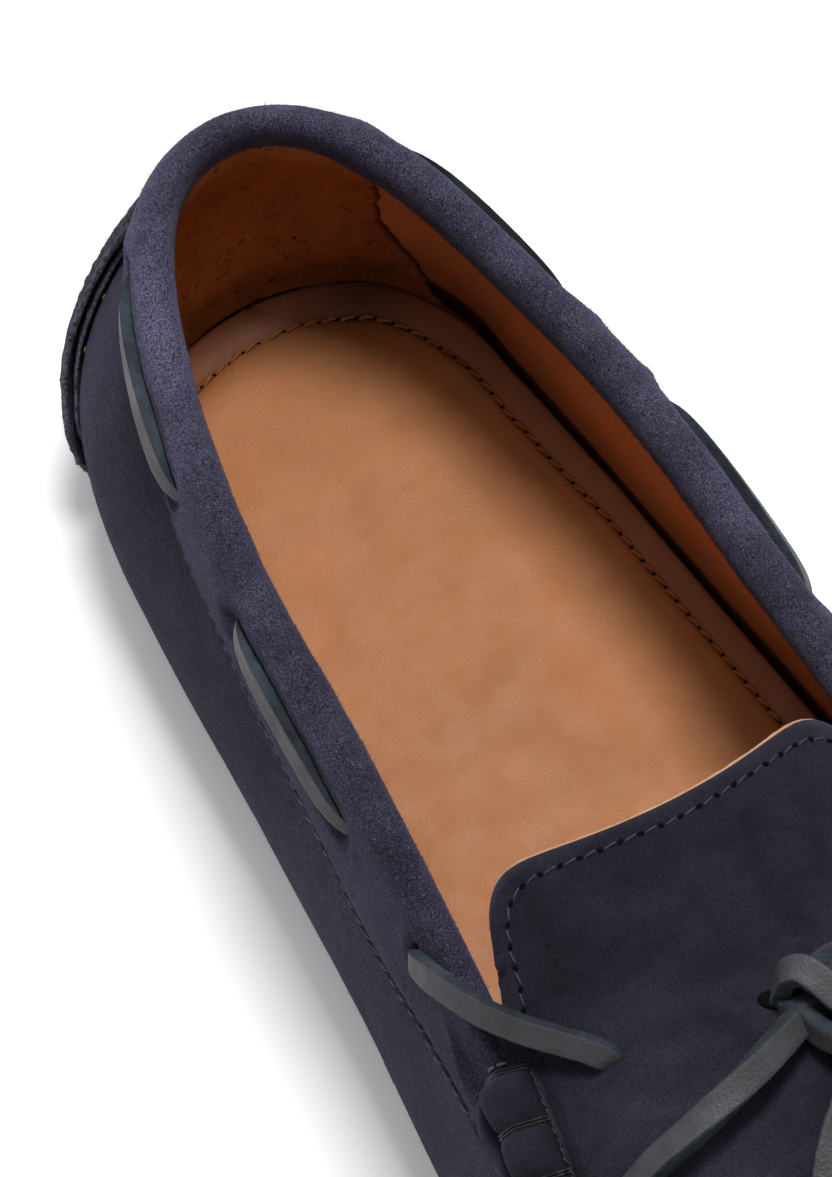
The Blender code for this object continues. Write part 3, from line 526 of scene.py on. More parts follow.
# ------------------------------------------------------------------- materials
class Nodes:
    """Short names for building a material's node tree."""

    def __init__(self, name):
        self.material = bpy.data.materials.new(name)
        self.material.use_nodes = True
        self.tree = self.material.node_tree
        self.shader = self.tree.nodes["Principled BSDF"]
        self.coords = self.tree.nodes.new("ShaderNodeTexCoord").outputs["Object"]

    def link(self, a, b):
        self.tree.links.new(a, b)
        return b

    def noise(self, scale, detail=2.0, rough=0.55, distort=0.0, stretch=None, turn=(0, 0, 0)):
        vector = self.coords
        if stretch:
            m = self.tree.nodes.new("ShaderNodeMapping")
            m.inputs["Scale"].default_value = stretch
            m.inputs["Rotation"].default_value = turn
            self.link(self.coords, m.inputs["Vector"])
            vector = m.outputs["Vector"]
        n = self.tree.nodes.new("ShaderNodeTexNoise")
        n.inputs["Scale"].default_value = scale
        n.inputs["Detail"].default_value = detail
        n.inputs["Roughness"].default_value = rough
        n.inputs["Distortion"].default_value = distort
        self.link(vector, n.inputs["Vector"])
        return n.outputs["Fac"]

    def pores(self, scale, random=1.0):
        n = self.tree.nodes.new("ShaderNodeTexVoronoi")
        n.inputs["Scale"].default_value = scale
        n.inputs["Randomness"].default_value = random
        self.link(self.coords, n.inputs["Vector"])
        return n.outputs["Distance"]

    def tone(self, name="tone"):
        n = self.tree.nodes.new("ShaderNodeAttribute")
        n.attribute_name = name
        return n.outputs["Fac"]

    def ramp(self, fac, low, high, out_low=0.0, out_high=1.0):
        n = self.tree.nodes.new("ShaderNodeMapRange")
        n.interpolation_type = "SMOOTHSTEP"
        for key, value in (("From Min", low), ("From Max", high),
                           ("To Min", out_low), ("To Max", out_high)):
            n.inputs[key].default_value = value
        self.link(fac, n.inputs["Value"])
        return n.outputs["Result"]

    def math(self, kind, a, b):
        n = self.tree.nodes.new("ShaderNodeMath")
        n.operation = kind
        for socket, value in zip(n.inputs, (a, b)):
            if isinstance(value, (int, float)):
                socket.default_value = value
            else:
                self.link(value, socket)
        return n.outputs[0]

    def mix(self, fac, a, b, kind="MIX"):
        n = self.tree.nodes.new("ShaderNodeMix")
        n.data_type = "RGBA"
        n.blend_type = kind
        for socket, value in ((n.inputs["Factor"], fac), (n.inputs[6], a), (n.inputs[7], b)):
            if isinstance(value, (int, float)):
                socket.default_value = value
            elif isinstance(value, (tuple, list)):
                socket.default_value = tuple(value) + (1.0,)
            else:
                self.link(value, socket)
        return n.outputs[2]

    def grey(self, fac):
        n = self.tree.nodes.new("ShaderNodeCombineColor")
        for socket in n.inputs[:3]:
            self.link(fac, socket)
        return n.outputs[0]

    def bump(self, height, strength, distance, normal=None):
        n = self.tree.nodes.new("ShaderNodeBump")
        n.inputs["Strength"].default_value = strength
        n.inputs["Distance"].default_value = distance
        self.link(height, n.inputs["Height"])
        if normal is not None:
            self.link(normal, n.inputs["Normal"])
        return n.outputs["Normal"]

    def out(self, colour, rough, normal=None, **more):
        if isinstance(colour, tuple):
            self.shader.inputs["Base Color"].default_value = colour + (1.0,)
        else:
            self.link(colour, self.shader.inputs["Base Color"])
        if isinstance(rough, (int, float)):
            self.shader.inputs["Roughness"].default_value = rough
        else:
            self.link(rough, self.shader.inputs["Roughness"])
        if normal is not None:
            self.link(normal, self.shader.inputs["Normal"])
        for key, value in more.items():
            socket = self.shader.inputs[key.replace("_", " ")]
            socket.default_value = value + (1.0,) if isinstance(value, tuple) else value
        return self.material


def suede(name, base, speck=0.5, sheen=0.5, patch=0.35, grain=2300.0, depth=0.00016,
          glint=(0.30, 0.29, 0.46), glint_share=0.0, rough_attr=None):
    n = Nodes(name)
    big = n.ramp(n.noise(38.0, 3.0, 0.6, 0.6), 0.32, 0.68, 1 - patch, 1 + patch)
    mid = n.ramp(n.noise(260.0, 3.0, 0.6, 0.4, stretch=(1.0, 0.55, 1.0)), 0.3, 0.7,
                 1 - 0.55 * patch, 1 + 0.55 * patch)
    fine_noise = n.noise(grain, 3.5, 0.72)
    fine = n.ramp(fine_noise, 0.33, 0.70, 1 - speck, 1 + 1.15 * speck)
    level = n.math("MULTIPLY", n.math("MULTIPLY", big, mid), fine)
    level = n.math("MULTIPLY", level, n.math("ADD", n.tone(), 1.0))
    if rough_attr:
        # standing nap, where the surface carries it, shows coarser pale and dark points
        stand = n.ramp(n.noise(3000.0, 3.5, 0.75, 0.3), 0.34, 0.66, -0.80, 1.10)
        level = n.math("MULTIPLY", level, n.math("ADD", n.math(
            "MULTIPLY", stand, n.tone(rough_attr)), 1.0))
    colour = n.mix(1.0, base, n.grey(level), "MULTIPLY")
    # painted glints: pale points mixed into the colour where fibres catch the light
    if glint_share:
        spark = n.ramp(n.noise(grain * 0.8, 1.0, 0.5, 0.3), 0.60, 0.74, 0.0, glint_share)
        colour = n.mix(spark, colour, glint)
    nap = n.bump(fine_noise, 0.75, depth)
    nap = n.bump(n.noise(620.0, 2.0, 0.55), 0.35, 0.0003, nap)
    return n.out(colour, 0.94, nap, Sheen_Weight=sheen, Sheen_Roughness=0.45,
                 Sheen_Tint=(0.62, 0.60, 0.95), Specular_IOR_Level=0.12)


def leather(name, base, dark, rough=0.5, pore=1500.0, patch=0.18, depth=0.00006, spec=0.35,
            blotch=0.0, streak=None, pit=0.86):
    n = Nodes(name)
    big = n.ramp(n.noise(26.0, 3.0, 0.6, 0.5), 0.3, 0.7, 1 - patch, 1 + patch)
    mid = n.ramp(n.noise(210.0, 4.0, 0.62, 0.5), 0.3, 0.7, 1 - 0.45 * patch, 1 + 0.45 * patch)
    if streak:
        s = n.ramp(n.noise(90.0, 3.0, 0.6, 0.2, stretch=streak), 0.32, 0.68,
                   1 - 0.5 * patch, 1 + 0.5 * patch)
        mid = n.math("MULTIPLY", mid, s)
    cells = n.pores(pore)
    pits = n.ramp(cells, 0.05, 0.42, pit, 1.02)
    level = n.math("MULTIPLY", n.math("MULTIPLY", big, mid), pits)
    level = n.math("MULTIPLY", level, n.math("ADD", n.tone(), 1.0))
    colour = n.mix(1.0, base, n.grey(level), "MULTIPLY")
    if blotch:
        spots = n.ramp(n.noise(760.0, 5.0, 0.74, 0.8, stretch=(1.0, 0.8, 1.2)), 0.575, 0.66,
                       0.0, blotch)
        colour = n.mix(spots, colour, dark)
    normal = n.bump(cells, 0.5, depth)
    normal = n.bump(n.noise(700.0, 3.0, 0.6), 0.3, depth * 2, normal)
    roughness = n.ramp(n.noise(160.0, 2.0), 0.3, 0.7, rough - 0.06, rough + 0.08)
    return n.out(colour, roughness, normal, Specular_IOR_Level=spec)


SUEDE = suede("suede_navy", (0.0240, 0.0212, 0.0335), speck=0.40, sheen=0.10, patch=0.30,
              grain=5200.0, depth=0.00020, rough_attr="nap")
# the collar's suede: a lighter base than the walls', partly for its coarser nap and partly painted
# light on the roll, with stronger specks and painted glints
SUEDE_BAND_LIT = suede("suede_navy_collar_lit", (0.0385, 0.0350, 0.0590), speck=0.90, sheen=0.16,
                   patch=0.28, grain=4300.0, depth=0.00026, glint_share=0.42,
                   glint=(0.17, 0.165, 0.28))
# the heel patch's suede, raw edges and faces alike: a lighter base than the walls' suede, painted
# light that lifts the shade the patch stands in
SUEDE_EDGE_LIT = suede("suede_raw_edge_lit", (0.0440, 0.0400, 0.0540), speck=0.7, sheen=0.03,
                   patch=0.25, grain=1700.0, depth=0.0004)
INSOLE = leather("insole_leather", (0.372, 0.146, 0.0485), (0.25, 0.1, 0.04), rough=0.50,
                 pore=2600.0, patch=0.08, depth=0.00005, spec=0.26, streak=(1.6, 0.35, 1.0),
                 pit=0.96)
RIM = leather("insole_rim_leather", (0.325, 0.122, 0.052), (0.2, 0.09, 0.04), rough=0.5,
              pore=2600.0, patch=0.08, depth=0.00005, spec=0.26, pit=0.96)
LINING = leather("lining_leather", (0.600, 0.225, 0.082), (0.1, 0.03, 0.01), rough=0.5,
                 pore=1700.0, patch=0.10, depth=0.00005, spec=0.25)
COUNTER = leather("counter_lining_suede", (0.360, 0.122, 0.034), (0.030, 0.010, 0.004),
                  rough=0.9, pore=1300.0, patch=0.26, depth=0.00028, spec=0.10, blotch=0.9)
CUT_EDGE = leather("lining_cut_edge", (0.50, 0.29, 0.150), (0.3, 0.15, 0.06), rough=0.8,
                   pore=2200.0, patch=0.15, depth=0.0001, spec=0.15)
LACE_GRAIN = leather("lace_grain", (0.056, 0.056, 0.063), (0.03, 0.03, 0.035), rough=0.55,
                     pore=2400.0, patch=0.34, depth=0.00014, spec=0.35)
LACE_EDGE = leather("lace_cut_edge", (0.031, 0.038, 0.049), (0.01, 0.015, 0.02), rough=0.9,
                    pore=2300.0, patch=0.55, depth=0.00030, spec=0.12)
RUBBER = leather("sole_rubber", (0.0170, 0.0165, 0.0240), (0.01, 0.01, 0.012), rough=0.62,
                 pore=900.0, patch=0.12, depth=0.00003, spec=0.35)
THREAD_NAVY = leather("thread_navy", (0.070, 0.078, 0.140), (0.02, 0.02, 0.04), rough=0.6,
                      pore=3500.0, patch=0.2, depth=0.00008, spec=0.3)
THREAD_PALE = leather("thread_slate", (0.036, 0.038, 0.066), (0.02, 0.02, 0.04), rough=0.6,
                      pore=3500.0, patch=0.2, depth=0.00008, spec=0.3)
THREAD_ORANGE = leather("thread_orange", (0.36, 0.125, 0.028), (0.1, 0.03, 0.01), rough=0.6,
                        pore=3500.0, patch=0.2, depth=0.00008, spec=0.3)
CORD_WAX = leather("waxed_cord", (0.014, 0.014, 0.018), (0.005, 0.005, 0.006), rough=0.58,
                   pore=2100.0, patch=0.45, depth=0.00020, spec=0.36)
# near-black discs laid on the surfaces: painted shade in needle holes and lace openings
HOLE = leather("needle_hole_shade", (0.004, 0.0035, 0.0045), (0.001, 0.001, 0.001), rough=0.95,
               pore=2500.0, patch=0.2, depth=0.00004, spec=0.05)


# --------------------------------------------------------------------- pieces
BAND_FACE, BAND_END, GAP, GROOVE, BAR_THICK = 1.8, 0.526, 0.3, 0.8, 2.0
LACE_WIDE, LACE_THICK = 4.0, 2.4
THROAT_PHI = float(angle_of(THROAT))
END_PHI = float(angle_of(BAND_END))
DROP_OF_X = open_spline(*zip(*((11.0, 9.6), (50.0, 10.4), (70.0, 12.2), (90.0, 15.1),
                               (101.0, 16.7), (112.0, 17.9), (120.0, 17.8), (128.0, 17.2),
                               (136.0, 16.8), (142.0, 16.3))))
BAND_TAIL = 149.0          # x where the band's leather has run out under the crossing
BARS = (
    ("lace_bar_rear_medial", -1, 23.0, 55.0, 2.6, 3.9),
    ("lace_bar_rear_lateral", 1, 22.5, 55.5, 2.8, 3.4),
    ("lace_bar_front_medial", -1, 72.5, 108.0, 3.4, 4.4),
    ("lace_bar_front_lateral", 1, 71.5, 108.5, 3.0, 4.0),
)


def even_angles(a, b, step, of=top):
    """Angles from a to b whose points on a line are about step mm apart."""
    fine = np.linspace(a, b, 800)
    p = of(fine)
    run = np.concatenate([[0.0], np.cumsum(np.linalg.norm(np.diff(p, axis=0), axis=1))])
    return np.interp(np.linspace(0, run[-1], max(2, int(run[-1] / step) + 1)), run, fine)


def shell(step, v_rows, shares, tongue_rows):
    """Sheet of the whole upper: verts, faces, and per vert its angle, v and share."""
    rear = even_angles(0.0, THROAT_PHI, step, bulge)
    front = even_angles(THROAT_PHI, math.pi, step, bulge)[1:]
    half = np.concatenate([rear, front])
    first = len(rear) - 1
    phis = np.concatenate([half, 2 * math.pi - half[-2:0:-1]])
    count = len(phis)
    s = Soup()
    rows = [ring(phis, TUCK(phis) + MARGIN, SEAT), ring(phis, TUCK(phis) + 3.0, SEAT)]
    rows += [wall(phis, v) for v in v_rows]
    info = [np.stack([phis, np.full(count, -1.2), np.zeros(count)], 1),
            np.stack([phis, np.full(count, -1.1), np.zeros(count)], 1)]
    info += [np.stack([phis, np.full(count, v), np.zeros(count)], 1) for v in v_rows]
    s.grid(np.array(rows), closed_u=True)
    front_all = half[first:]
    for sign in (1.0, -1.0):
        angles = front_all if sign > 0 else 2 * math.pi - front_all
        grid = np.array([apron(angles, q) for q in shares])
        s.grid(grid if sign > 0 else grid[:, ::-1])
        order = angles if sign > 0 else angles[::-1]
        info += [np.stack([order, np.full(len(order), 2.0), np.full(len(order), q)], 1)
                 for q in shares]
    across = np.concatenate([1 - np.asarray(shares), (np.asarray(shares) - 1)[-2::-1]])
    runs = np.linspace(0, 1, tongue_rows)
    s.grid(np.array([tongue(r, across) for r in runs]))
    info += [np.stack([np.full(len(across), THROAT_PHI), np.full(len(across), 3.0 + r), across], 1)
             for r in runs]
    return np.concatenate(s.verts), s.faces, np.concatenate(info)


def merged(verts, faces, info):
    """Join verts that lie on each other; returns arrays with outward normals."""
    keys = np.round(verts * 2000).astype(np.int64)
    _, first, back = np.unique(keys, axis=0, return_index=True, return_inverse=True)
    back = back.reshape(-1)
    out_faces = []
    for f in faces:
        g = []
        for k in back[np.asarray(f)]:
            if k not in g:
                g.append(int(k))
        if len(g) > 2:
            out_faces.append(g)
    v = verts[first]
    mesh = bpy.data.meshes.new("scratch")
    mesh.from_pydata(v.tolist(), [], out_faces)
    import bmesh
    bm = bmesh.new()
    bm.from_mesh(mesh)
    bmesh.ops.recalc_face_normals(bm, faces=bm.faces)
    bm.to_mesh(mesh)
    bm.free()
    n = np.zeros(len(v) * 3)
    mesh.vertices.foreach_get("normal", n)
    n = n.reshape(-1, 3)
    out_faces = [list(p.vertices) for p in mesh.polygons]
    bpy.data.meshes.remove(mesh)
    top_v = np.argmax(v[:, 2])
    if n[top_v, 2] < 0:
        n = -n
        out_faces = [f[::-1] for f in out_faces]
    return v, out_faces, n, info[first]


def sheet_object(name, verts, faces, tones, material, nap=None):
    mesh = bpy.data.meshes.new(name)
    mesh.from_pydata(world(verts).tolist(), [], faces)
    mesh.update()
    layer = mesh.attributes.new("tone", "FLOAT", "POINT")
    layer.data.foreach_set("value", np.asarray(tones, np.float32))
    if nap is not None:
        layer = mesh.attributes.new("nap", "FLOAT", "POINT")
        layer.data.foreach_set("value", np.asarray(nap, np.float32))
    mesh.shade_smooth()
    mesh.materials.append(material)
    obj = bpy.data.objects.new(name, mesh)
    bpy.context.scene.collection.objects.link(obj)
    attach(obj, "root")
    return obj


def warm_rows(rows, near, more):
    return np.array(sorted(set([round(float(r), 5) for r in rows])))


V_ROWS = np.concatenate([np.linspace(-1.0, -0.1, 12), np.linspace(0.0, 0.85, 16),
                         np.linspace(0.88, 1.0, 7)])
SHARES_SKIN = np.concatenate([np.linspace(0.0, 0.24, 11), np.linspace(0.28, 1.0, 15)])

# soft creases in the suede: middle x, y, length, turn (degrees),
# width and depth (+ raised, - pressed in)
CREASES = (
    (176.0, 4.0, 46.0, 82.0, 5.0, -0.22), (188.0, -3.0, 52.0, 96.0, 6.0, 0.20),
    (203.0, 2.0, 50.0, 88.0, 6.0, -0.20), (219.0, -2.0, 40.0, 93.0, 6.0, 0.16),
    (150.0, 8.0, 34.0, 60.0, 5.0, 0.14), (145.0, -10.0, 22.0, 100.0, 4.0, 0.12),
)
# troughs in the side walls: side, x, height, length along x, tilt, width, depth
FOLDS = (
    (-1, 66.0, 30.0, 46.0, 8.0, 6.0, -0.22), (-1, 96.0, 24.0, 40.0, -10.0, 6.0, 0.20),
    (-1, 182.0, 24.0, 20.0, 60.0, 4.5, -0.35), (-1, 193.0, 26.0, 20.0, 66.0, 4.5, 0.3),
    (1, 182.0, 24.0, 20.0, 58.0, 4.5, -0.35), (1, 196.0, 25.0, 20.0, 66.0, 4.5, 0.3),
    (1, 60.0, 28.0, 44.0, -6.0, 6.0, -0.22), (1, 110.0, 26.0, 44.0, 8.0, 6.0, 0.2),
    (-1, 30.0, 28.0, 24.0, 30.0, 5.0, 0.18), (1, 30.0, 28.0, 24.0, -30.0, 5.0, 0.18),
)


def relief(p):
    """Height of the soft folds at points of the upper."""
    h = np.zeros(len(p))
    on_top = smooth(34.0, 44.0, p[:, 2])
    for x, y, length, turn, width, depth in CREASES:
        a = math.radians(turn)
        d = p[:, :2] - (x, y)
        along = d[:, 0] * math.cos(a) + d[:, 1] * math.sin(a)
        off = -d[:, 0] * math.sin(a) + d[:, 1] * math.cos(a) + 0.02 * along ** 2 * math.sin(x)
        h += depth * bell(off, width) * bell(along, length / 2) * on_top
    for which, x, z, length, tilt, width, depth in FOLDS:
        a = math.radians(tilt)
        d = np.stack([p[:, 0] - x, p[:, 2] - z], 1)
        along = d[:, 0] * math.cos(a) + d[:, 1] * math.sin(a)
        off = -d[:, 0] * math.sin(a) + d[:, 1] * math.cos(a)
        h += depth * bell(off, width) * bell(along, length / 2) * (p[:, 1] * which > 8)
    h += 0.16 * noise3(p, 0.06, 3) + 0.07 * noise3(p, 0.17, 5) + 0.025 * noise3(p, 0.9, 7)
    return h


def fill(p):
    """How far the lining stands inside its usual place, low down beside the sock."""
    x = p[:, 0]
    outer = np.interp(x, (8.0, 10.7, 13.0, 16.0, 21.4, 27.7, 37.9, 46.0, 54.9, 75.0, 97.0, 150.0),
                      (3.7, 3.2, 2.9, 2.8, 3.0, 2.9, 3.3, 2.7, 1.95, 0.9, 0.6, 0.5))
    inner = np.interp(x, (8.0, 12.5, 15.2, 20.4, 26.8, 37.7, 54.8, 150.0),
                      (3.7, 2.6, 2.1, 1.9, 1.1, 0.8, 0.6, 0.5))
    amount = np.where(p[:, 1] > 0, outer, inner) * smooth(190.0, 150.0, x)
    return amount * smooth(34.0, 14.5, p[:, 2] - lift(x))


def build_upper():
    v, faces, n, info = merged(*shell(1.5, V_ROWS, SHARES_SKIN, 12))
    h = relief(v)
    # the free edge of the tongue is turned down over its own thickness
    run = info[:, 1] - 3.0
    on_tongue = info[:, 1] >= 3.0
    h = h - on_tongue * 0.55 * smooth(0.88, 1.0, run) * smooth(1.0, 0.86, np.abs(info[:, 2]))
    # the apron and tongue are made darker than the walls, and lighter again towards the front on the
    # medial side
    tone = -0.22 * smooth(1.5, 2.0, info[:, 1]) + 0.10 * noise3(v, 0.05, 9)
    tone = tone + 0.30 * smooth(138.0, 160.0, v[:, 0]) * smooth(-4.0, -20.0, v[:, 1]) \
        * (info[:, 1] >= 1.9) * 1.3
    nap = 1.0 - 0.80 * smooth(1.0, 1.6, info[:, 1])
    skin = sheet_object("upper_skin", v + n * h[:, None], faces, tone, SUEDE, nap)
    solidify(skin, 1.3, even=False)
    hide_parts("upper")

    v2, faces2, n2, info2 = merged(*shell(3.0, np.concatenate(
        [np.linspace(-1.0, -0.75, 3), np.linspace(-0.7, 0.1, 20), np.linspace(0.2, 1.0, 12)]),
        np.linspace(0, 1, 12), 8))
    h2 = 0.05 * noise3(v2, 0.3, 11)
    # painted shade: the gap behind the sock's edge is deep and unlit, so the lining is darkened low
    # down
    over = v2[:, 2] - lift(v2[:, 0])
    low = -0.46 * smooth(23.0, 12.4, over) - 0.50 * smooth(12.7, 11.9, over)
    lining = sheet_object("lining", v2 + n2 * (h2 - 1.38 - fill(v2))[:, None], faces2,
                          low, LINING)
    solidify(lining, 0.8, even=False)
    return skin, lining


# ---------------------------------------------------------------- collar band
# section from the stitched lower edge up over the roll and down inside:
# run (share of the face's height), rise (mm further down), out from the wall
SECTION = np.array([
    (1.0, 0.6, 0.25), (1.0, 0.45, 0.75), (1.0, 0.0, 1.10), (1.0, -0.7, 1.30),
    (1.0, -1.7, 1.45), (0.80, 0.0, 1.95), (0.62, 0.0, 2.45), (0.42, 0.0, 2.85),
    (0.22, 0.0, 3.0), (0.08, 0.3, 2.9), (0.0, -0.4, 2.35), (0.0, -1.5, 1.45),
    (0.0, -2.15, 0.45), (0.0, -2.45, -0.65), (0.0, -2.3, -1.75), (0.0, -1.6, -2.7),
    (0.0, -0.5, -3.35), (0.0, 0.8, -3.6), (0.0, 2.1, -3.6), (0.0, 3.1, -3.35),
    (0.0, 3.5, -2.9), (0.0, 3.3, -2.5), (0.0, 1.8, -2.35),
])


def section_lines(count):
    """The section's columns resampled evenly in length for a face 12 mm high."""
    flat = np.stack([SECTION[:, 0] * 12 + SECTION[:, 1], SECTION[:, 2]], 1)
    run = np.concatenate([[0.0], np.cumsum(np.linalg.norm(np.diff(flat, axis=0), axis=1))])
    at = np.linspace(0, run[-1], count)
    slope = np.gradient(SECTION, run, axis=0)
    i = np.clip(np.searchsorted(run, at, side="right") - 1, 0, len(run) - 2)
    h = (run[i + 1] - run[i])[:, None]
    t = ((at - run[i])[:, None]) / h
    return ((1 + 2 * t) * (1 - t) ** 2 * SECTION[i] + t * (1 - t) ** 2 * h * slope[i]
            + t * t * (3 - 2 * t) * SECTION[i + 1] + t * t * (t - 1) * h * slope[i + 1])


BAR_OUT = {"lace_bar_rear_medial": 3.35, "lace_bar_front_medial": 3.05,
           "lace_bar_rear_lateral": 2.7, "lace_bar_front_lateral": 3.25}


def bar_line(bar, s):
    """x, drop and height over the wall of a bar's middle line at share s."""
    name, which, x0, x1, drop0, drop1 = bar
    x = x0 + (x1 - x0) * s
    drop = drop0 + (drop1 - drop0) * s
    t = np.abs(2 * np.asarray(s, float) - 1)
    out = BAR_OUT[name] - 2.2 * np.clip(t, 0, 1.3) ** 8 - 0.45 * t ** 2
    return x, drop, out


def band_press(phi, drops, outs):
    """How far the band's face is pushed in, and the shade and light painted on it, at one station."""
    x, y = float(top(phi)[0]), float(top(phi)[1])
    press, dark = np.zeros(len(drops)), np.zeros(len(drops))
    outer = smooth(0.2, 1.2, outs)
    for bar in BARS:
        name, which, x0, x1, drop0, drop1 = bar
        if which * y < 0 or not x0 - 6 < x < x1 + 6:
            continue
        s = (x - x0) / (x1 - x0)
        drop = drop0 + (drop1 - drop0) * s
        inside = smooth(-0.05, 0.06, s) * smooth(1.05, 0.94, s)
        # a trench under the lace, with a valley and a swell on the roll above it
        q = drops - drop
        trench = smooth(-2.6, -1.5, q) * smooth(3.6, 1.9, q)
        press += 1.05 * trench * inside * outer
        press += 0.28 * bell(q + 3.1, 0.7) * inside * smooth(0.0, 1.0, outs)
        press -= 0.30 * bell(q + 4.6, 1.2) * inside * smooth(-1.6, -0.4, outs)
        ends = bell(x - x0 + 0.2, 1.5) + bell(x - x1 - 0.2, 1.5)
        press += 0.75 * ends * bell(q - 0.1, 1.0) * outer
        press -= 0.40 * (bell(x - x0 + 2.6, 1.6) + bell(x - x1 - 2.6, 1.6)) * bell(q, 1.8) * outer
        # painted shade in the pits at the bar's ends and in a line along the lace's upper edge;
        # painted light on the swell of the roll above
        dark -= 0.70 * np.clip(ends, 0, 1) * bell(q - 0.1, 1.0) * outer
        dark -= 0.55 * bell(q + 1.75, 0.35) * inside * outer
        dark += 0.30 * bell(q + 4.8, 1.3) * inside * smooth(-1.6, -0.4, outs)
    return press, dark


# how light the collar's suede is, by x, on each side: partly the lie of its nap and partly painted
# light and shade
NAP_AND_LIGHT_MEDIAL = ((11.0, 0.20), (20.0, 0.55), (34.0, 0.45), (55.0, 0.12), (80.0, 0.0),
               (105.0, -0.32), (142.0, -0.46))
NAP_AND_LIGHT_LATERAL = ((11.0, 0.20), (30.0, 0.0), (60.0, -0.08), (95.0, 0.02), (142.0, -0.2))


def band_nap_and_light(p):
    return float(np.interp(p[0], *zip(*(NAP_AND_LIGHT_LATERAL if p[1] > 0 else NAP_AND_LIGHT_MEDIAL))))


WALK_PHI = np.linspace(-END_PHI, END_PHI, 1200)
WALK_RUN = np.concatenate([[0.0], np.cumsum(np.linalg.norm(
    np.diff(top(WALK_PHI), axis=0), axis=1))])


def walked(phi):
    """Length along the top line from the band's medial end."""
    return np.interp(phi, WALK_PHI, WALK_RUN)


LAST_HOLES = ((127.6, -1, 3.2), (127.6, 1, 3.2))


def band_fall(x):
    """Height of the band's face; past its end it follows the seam that runs on."""
    return float(DROP_OF_X(min(x, 142.0))) - 0.08 * max(x - 142.0, 0.0)


def build_band():
    step = 0.8
    half = even_angles(0.0, float(top_angle(BAND_TAIL)), step)
    phis = np.concatenate([-half[:0:-1], half])
    lines = section_lines(58)
    rows, tones = [], []
    for phi in phis:
        p0 = top(phi)
        fall = band_fall(p0[0])
        drops = lines[:, 0] * fall + lines[:, 1]
        outs = lines[:, 2].copy()
        press, dark = band_press(phi, drops, outs)
        for x, which, drop in LAST_HOLES:
            if which * p0[1] > 0:
                r = np.hypot(p0[0] - x, (drops - drop) * 0.9)
                press += 0.8 * bell(r, 1.35) * (outs > 0)
                press -= 0.22 * bell(r - 2.6, 0.9) * (outs > 0)
                # painted shade round the lace holes
                dark -= 0.85 * bell(r, 1.5) * (outs > 0)
        # at the back of the heel the roll hardly overhangs the lining
        back = float(smooth(24.0, 11.0, p0[0]))
        outs = np.where(outs < 0, outs * (1 - 0.21 * back), outs * (1 - 0.16 * back))
        # towards its front end the band flattens and its roll gets lower
        ahead = float(smooth(108.0, 142.0, p0[0])) ** 1.5
        outs = outs * (1 - 0.72 * ahead * (outs > 0)) - press
        drops = np.where(drops < 0, drops * (1 - 0.45 * ahead), drops)
        tail = float(smooth(141.0, BAND_TAIL, p0[0]))
        outs = np.where(outs > 0, outs * (1 - 0.8 * tail) - 0.25 * tail, outs * (1 - 0.15 * tail))
        # stitched groove just above the lower edge
        over_edge = fall - drops
        # soft swelling that leads into the puckered ridge beside the roll
        middle = float(np.interp(p0[0], (134.0, 140.0, 146.0), (6.6, 8.0, 8.6)))
        outs = outs + 1.5 * float(smooth(133.0, 143.0, p0[0])) * bell(drops - middle, 1.5) \
            * (lines[:, 2] > 0)
        face = (lines[:, 2] > 0.4) * (1 - 0.6 * ahead)
        outs -= 0.50 * bell(over_edge - 1.5, 0.42) * face
        # the edge swells a little between its stitches
        outs += 0.16 * math.cos(2 * math.pi * float(walked(phi)) / 2.62) * bell(over_edge, 1.0) * face
        # painted shade in the stitched groove
        dark -= 0.40 * bell(over_edge - 1.5, 0.5) * face
        p = off_wall(phi, drops, outs)
        # painted light and shade by x and side, with the nap's lie
        dark = dark + band_nap_and_light(p0)
        rows.append(p)
        tones.append(dark)
    rows, tones = np.array(rows), np.array(tones)
    # nap and slow unevenness, along the section's own normal
    a = np.gradient(rows, axis=0)
    b = np.gradient(rows, axis=1)
    n = unit(np.cross(a, b))
    flip = np.sign((n * (rows - rows.mean(axis=1, keepdims=True))).sum(-1, keepdims=True).mean())
    n = n * (flip if flip else 1.0)
    wave = (0.20 * noise3(rows, 0.075, 21) + 0.10 * noise3(rows, 0.22, 22)
            + 0.06 * noise3(rows, 0.8, 23))
    wave *= 1.0 - 0.5 * (tones < -0.3)
    rows = rows + n * wave[..., None]
    tones = tones + 0.12 * noise3(rows, 0.10, 26) + 0.06 * noise3(rows, 0.5, 25)
    s = Soup()
    s.grid(rows, tone=tones)
    obj = s.build("collar_casing", SUEDE_BAND_LIT, "suede")
    solidify(obj, 0.5, -1.0)
    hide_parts("collar_band")
    return obj


def edge_line(x_from, x_to, which, above, out, step=0.5):
    """Line along the band's lower edge, a set height above it; path and normals."""
    xs = np.arange(x_from, x_to, step)
    path, up = [], []
    for x in xs:
        phi = float(top_angle(x, which))
        drop = float(DROP_OF_X(x)) - above
        path.append(off_wall(phi, drop, out)[0])
        up.append(wall_normal(phi, v_at_drops(phi, drop)))
    return np.array(path), np.array(up)


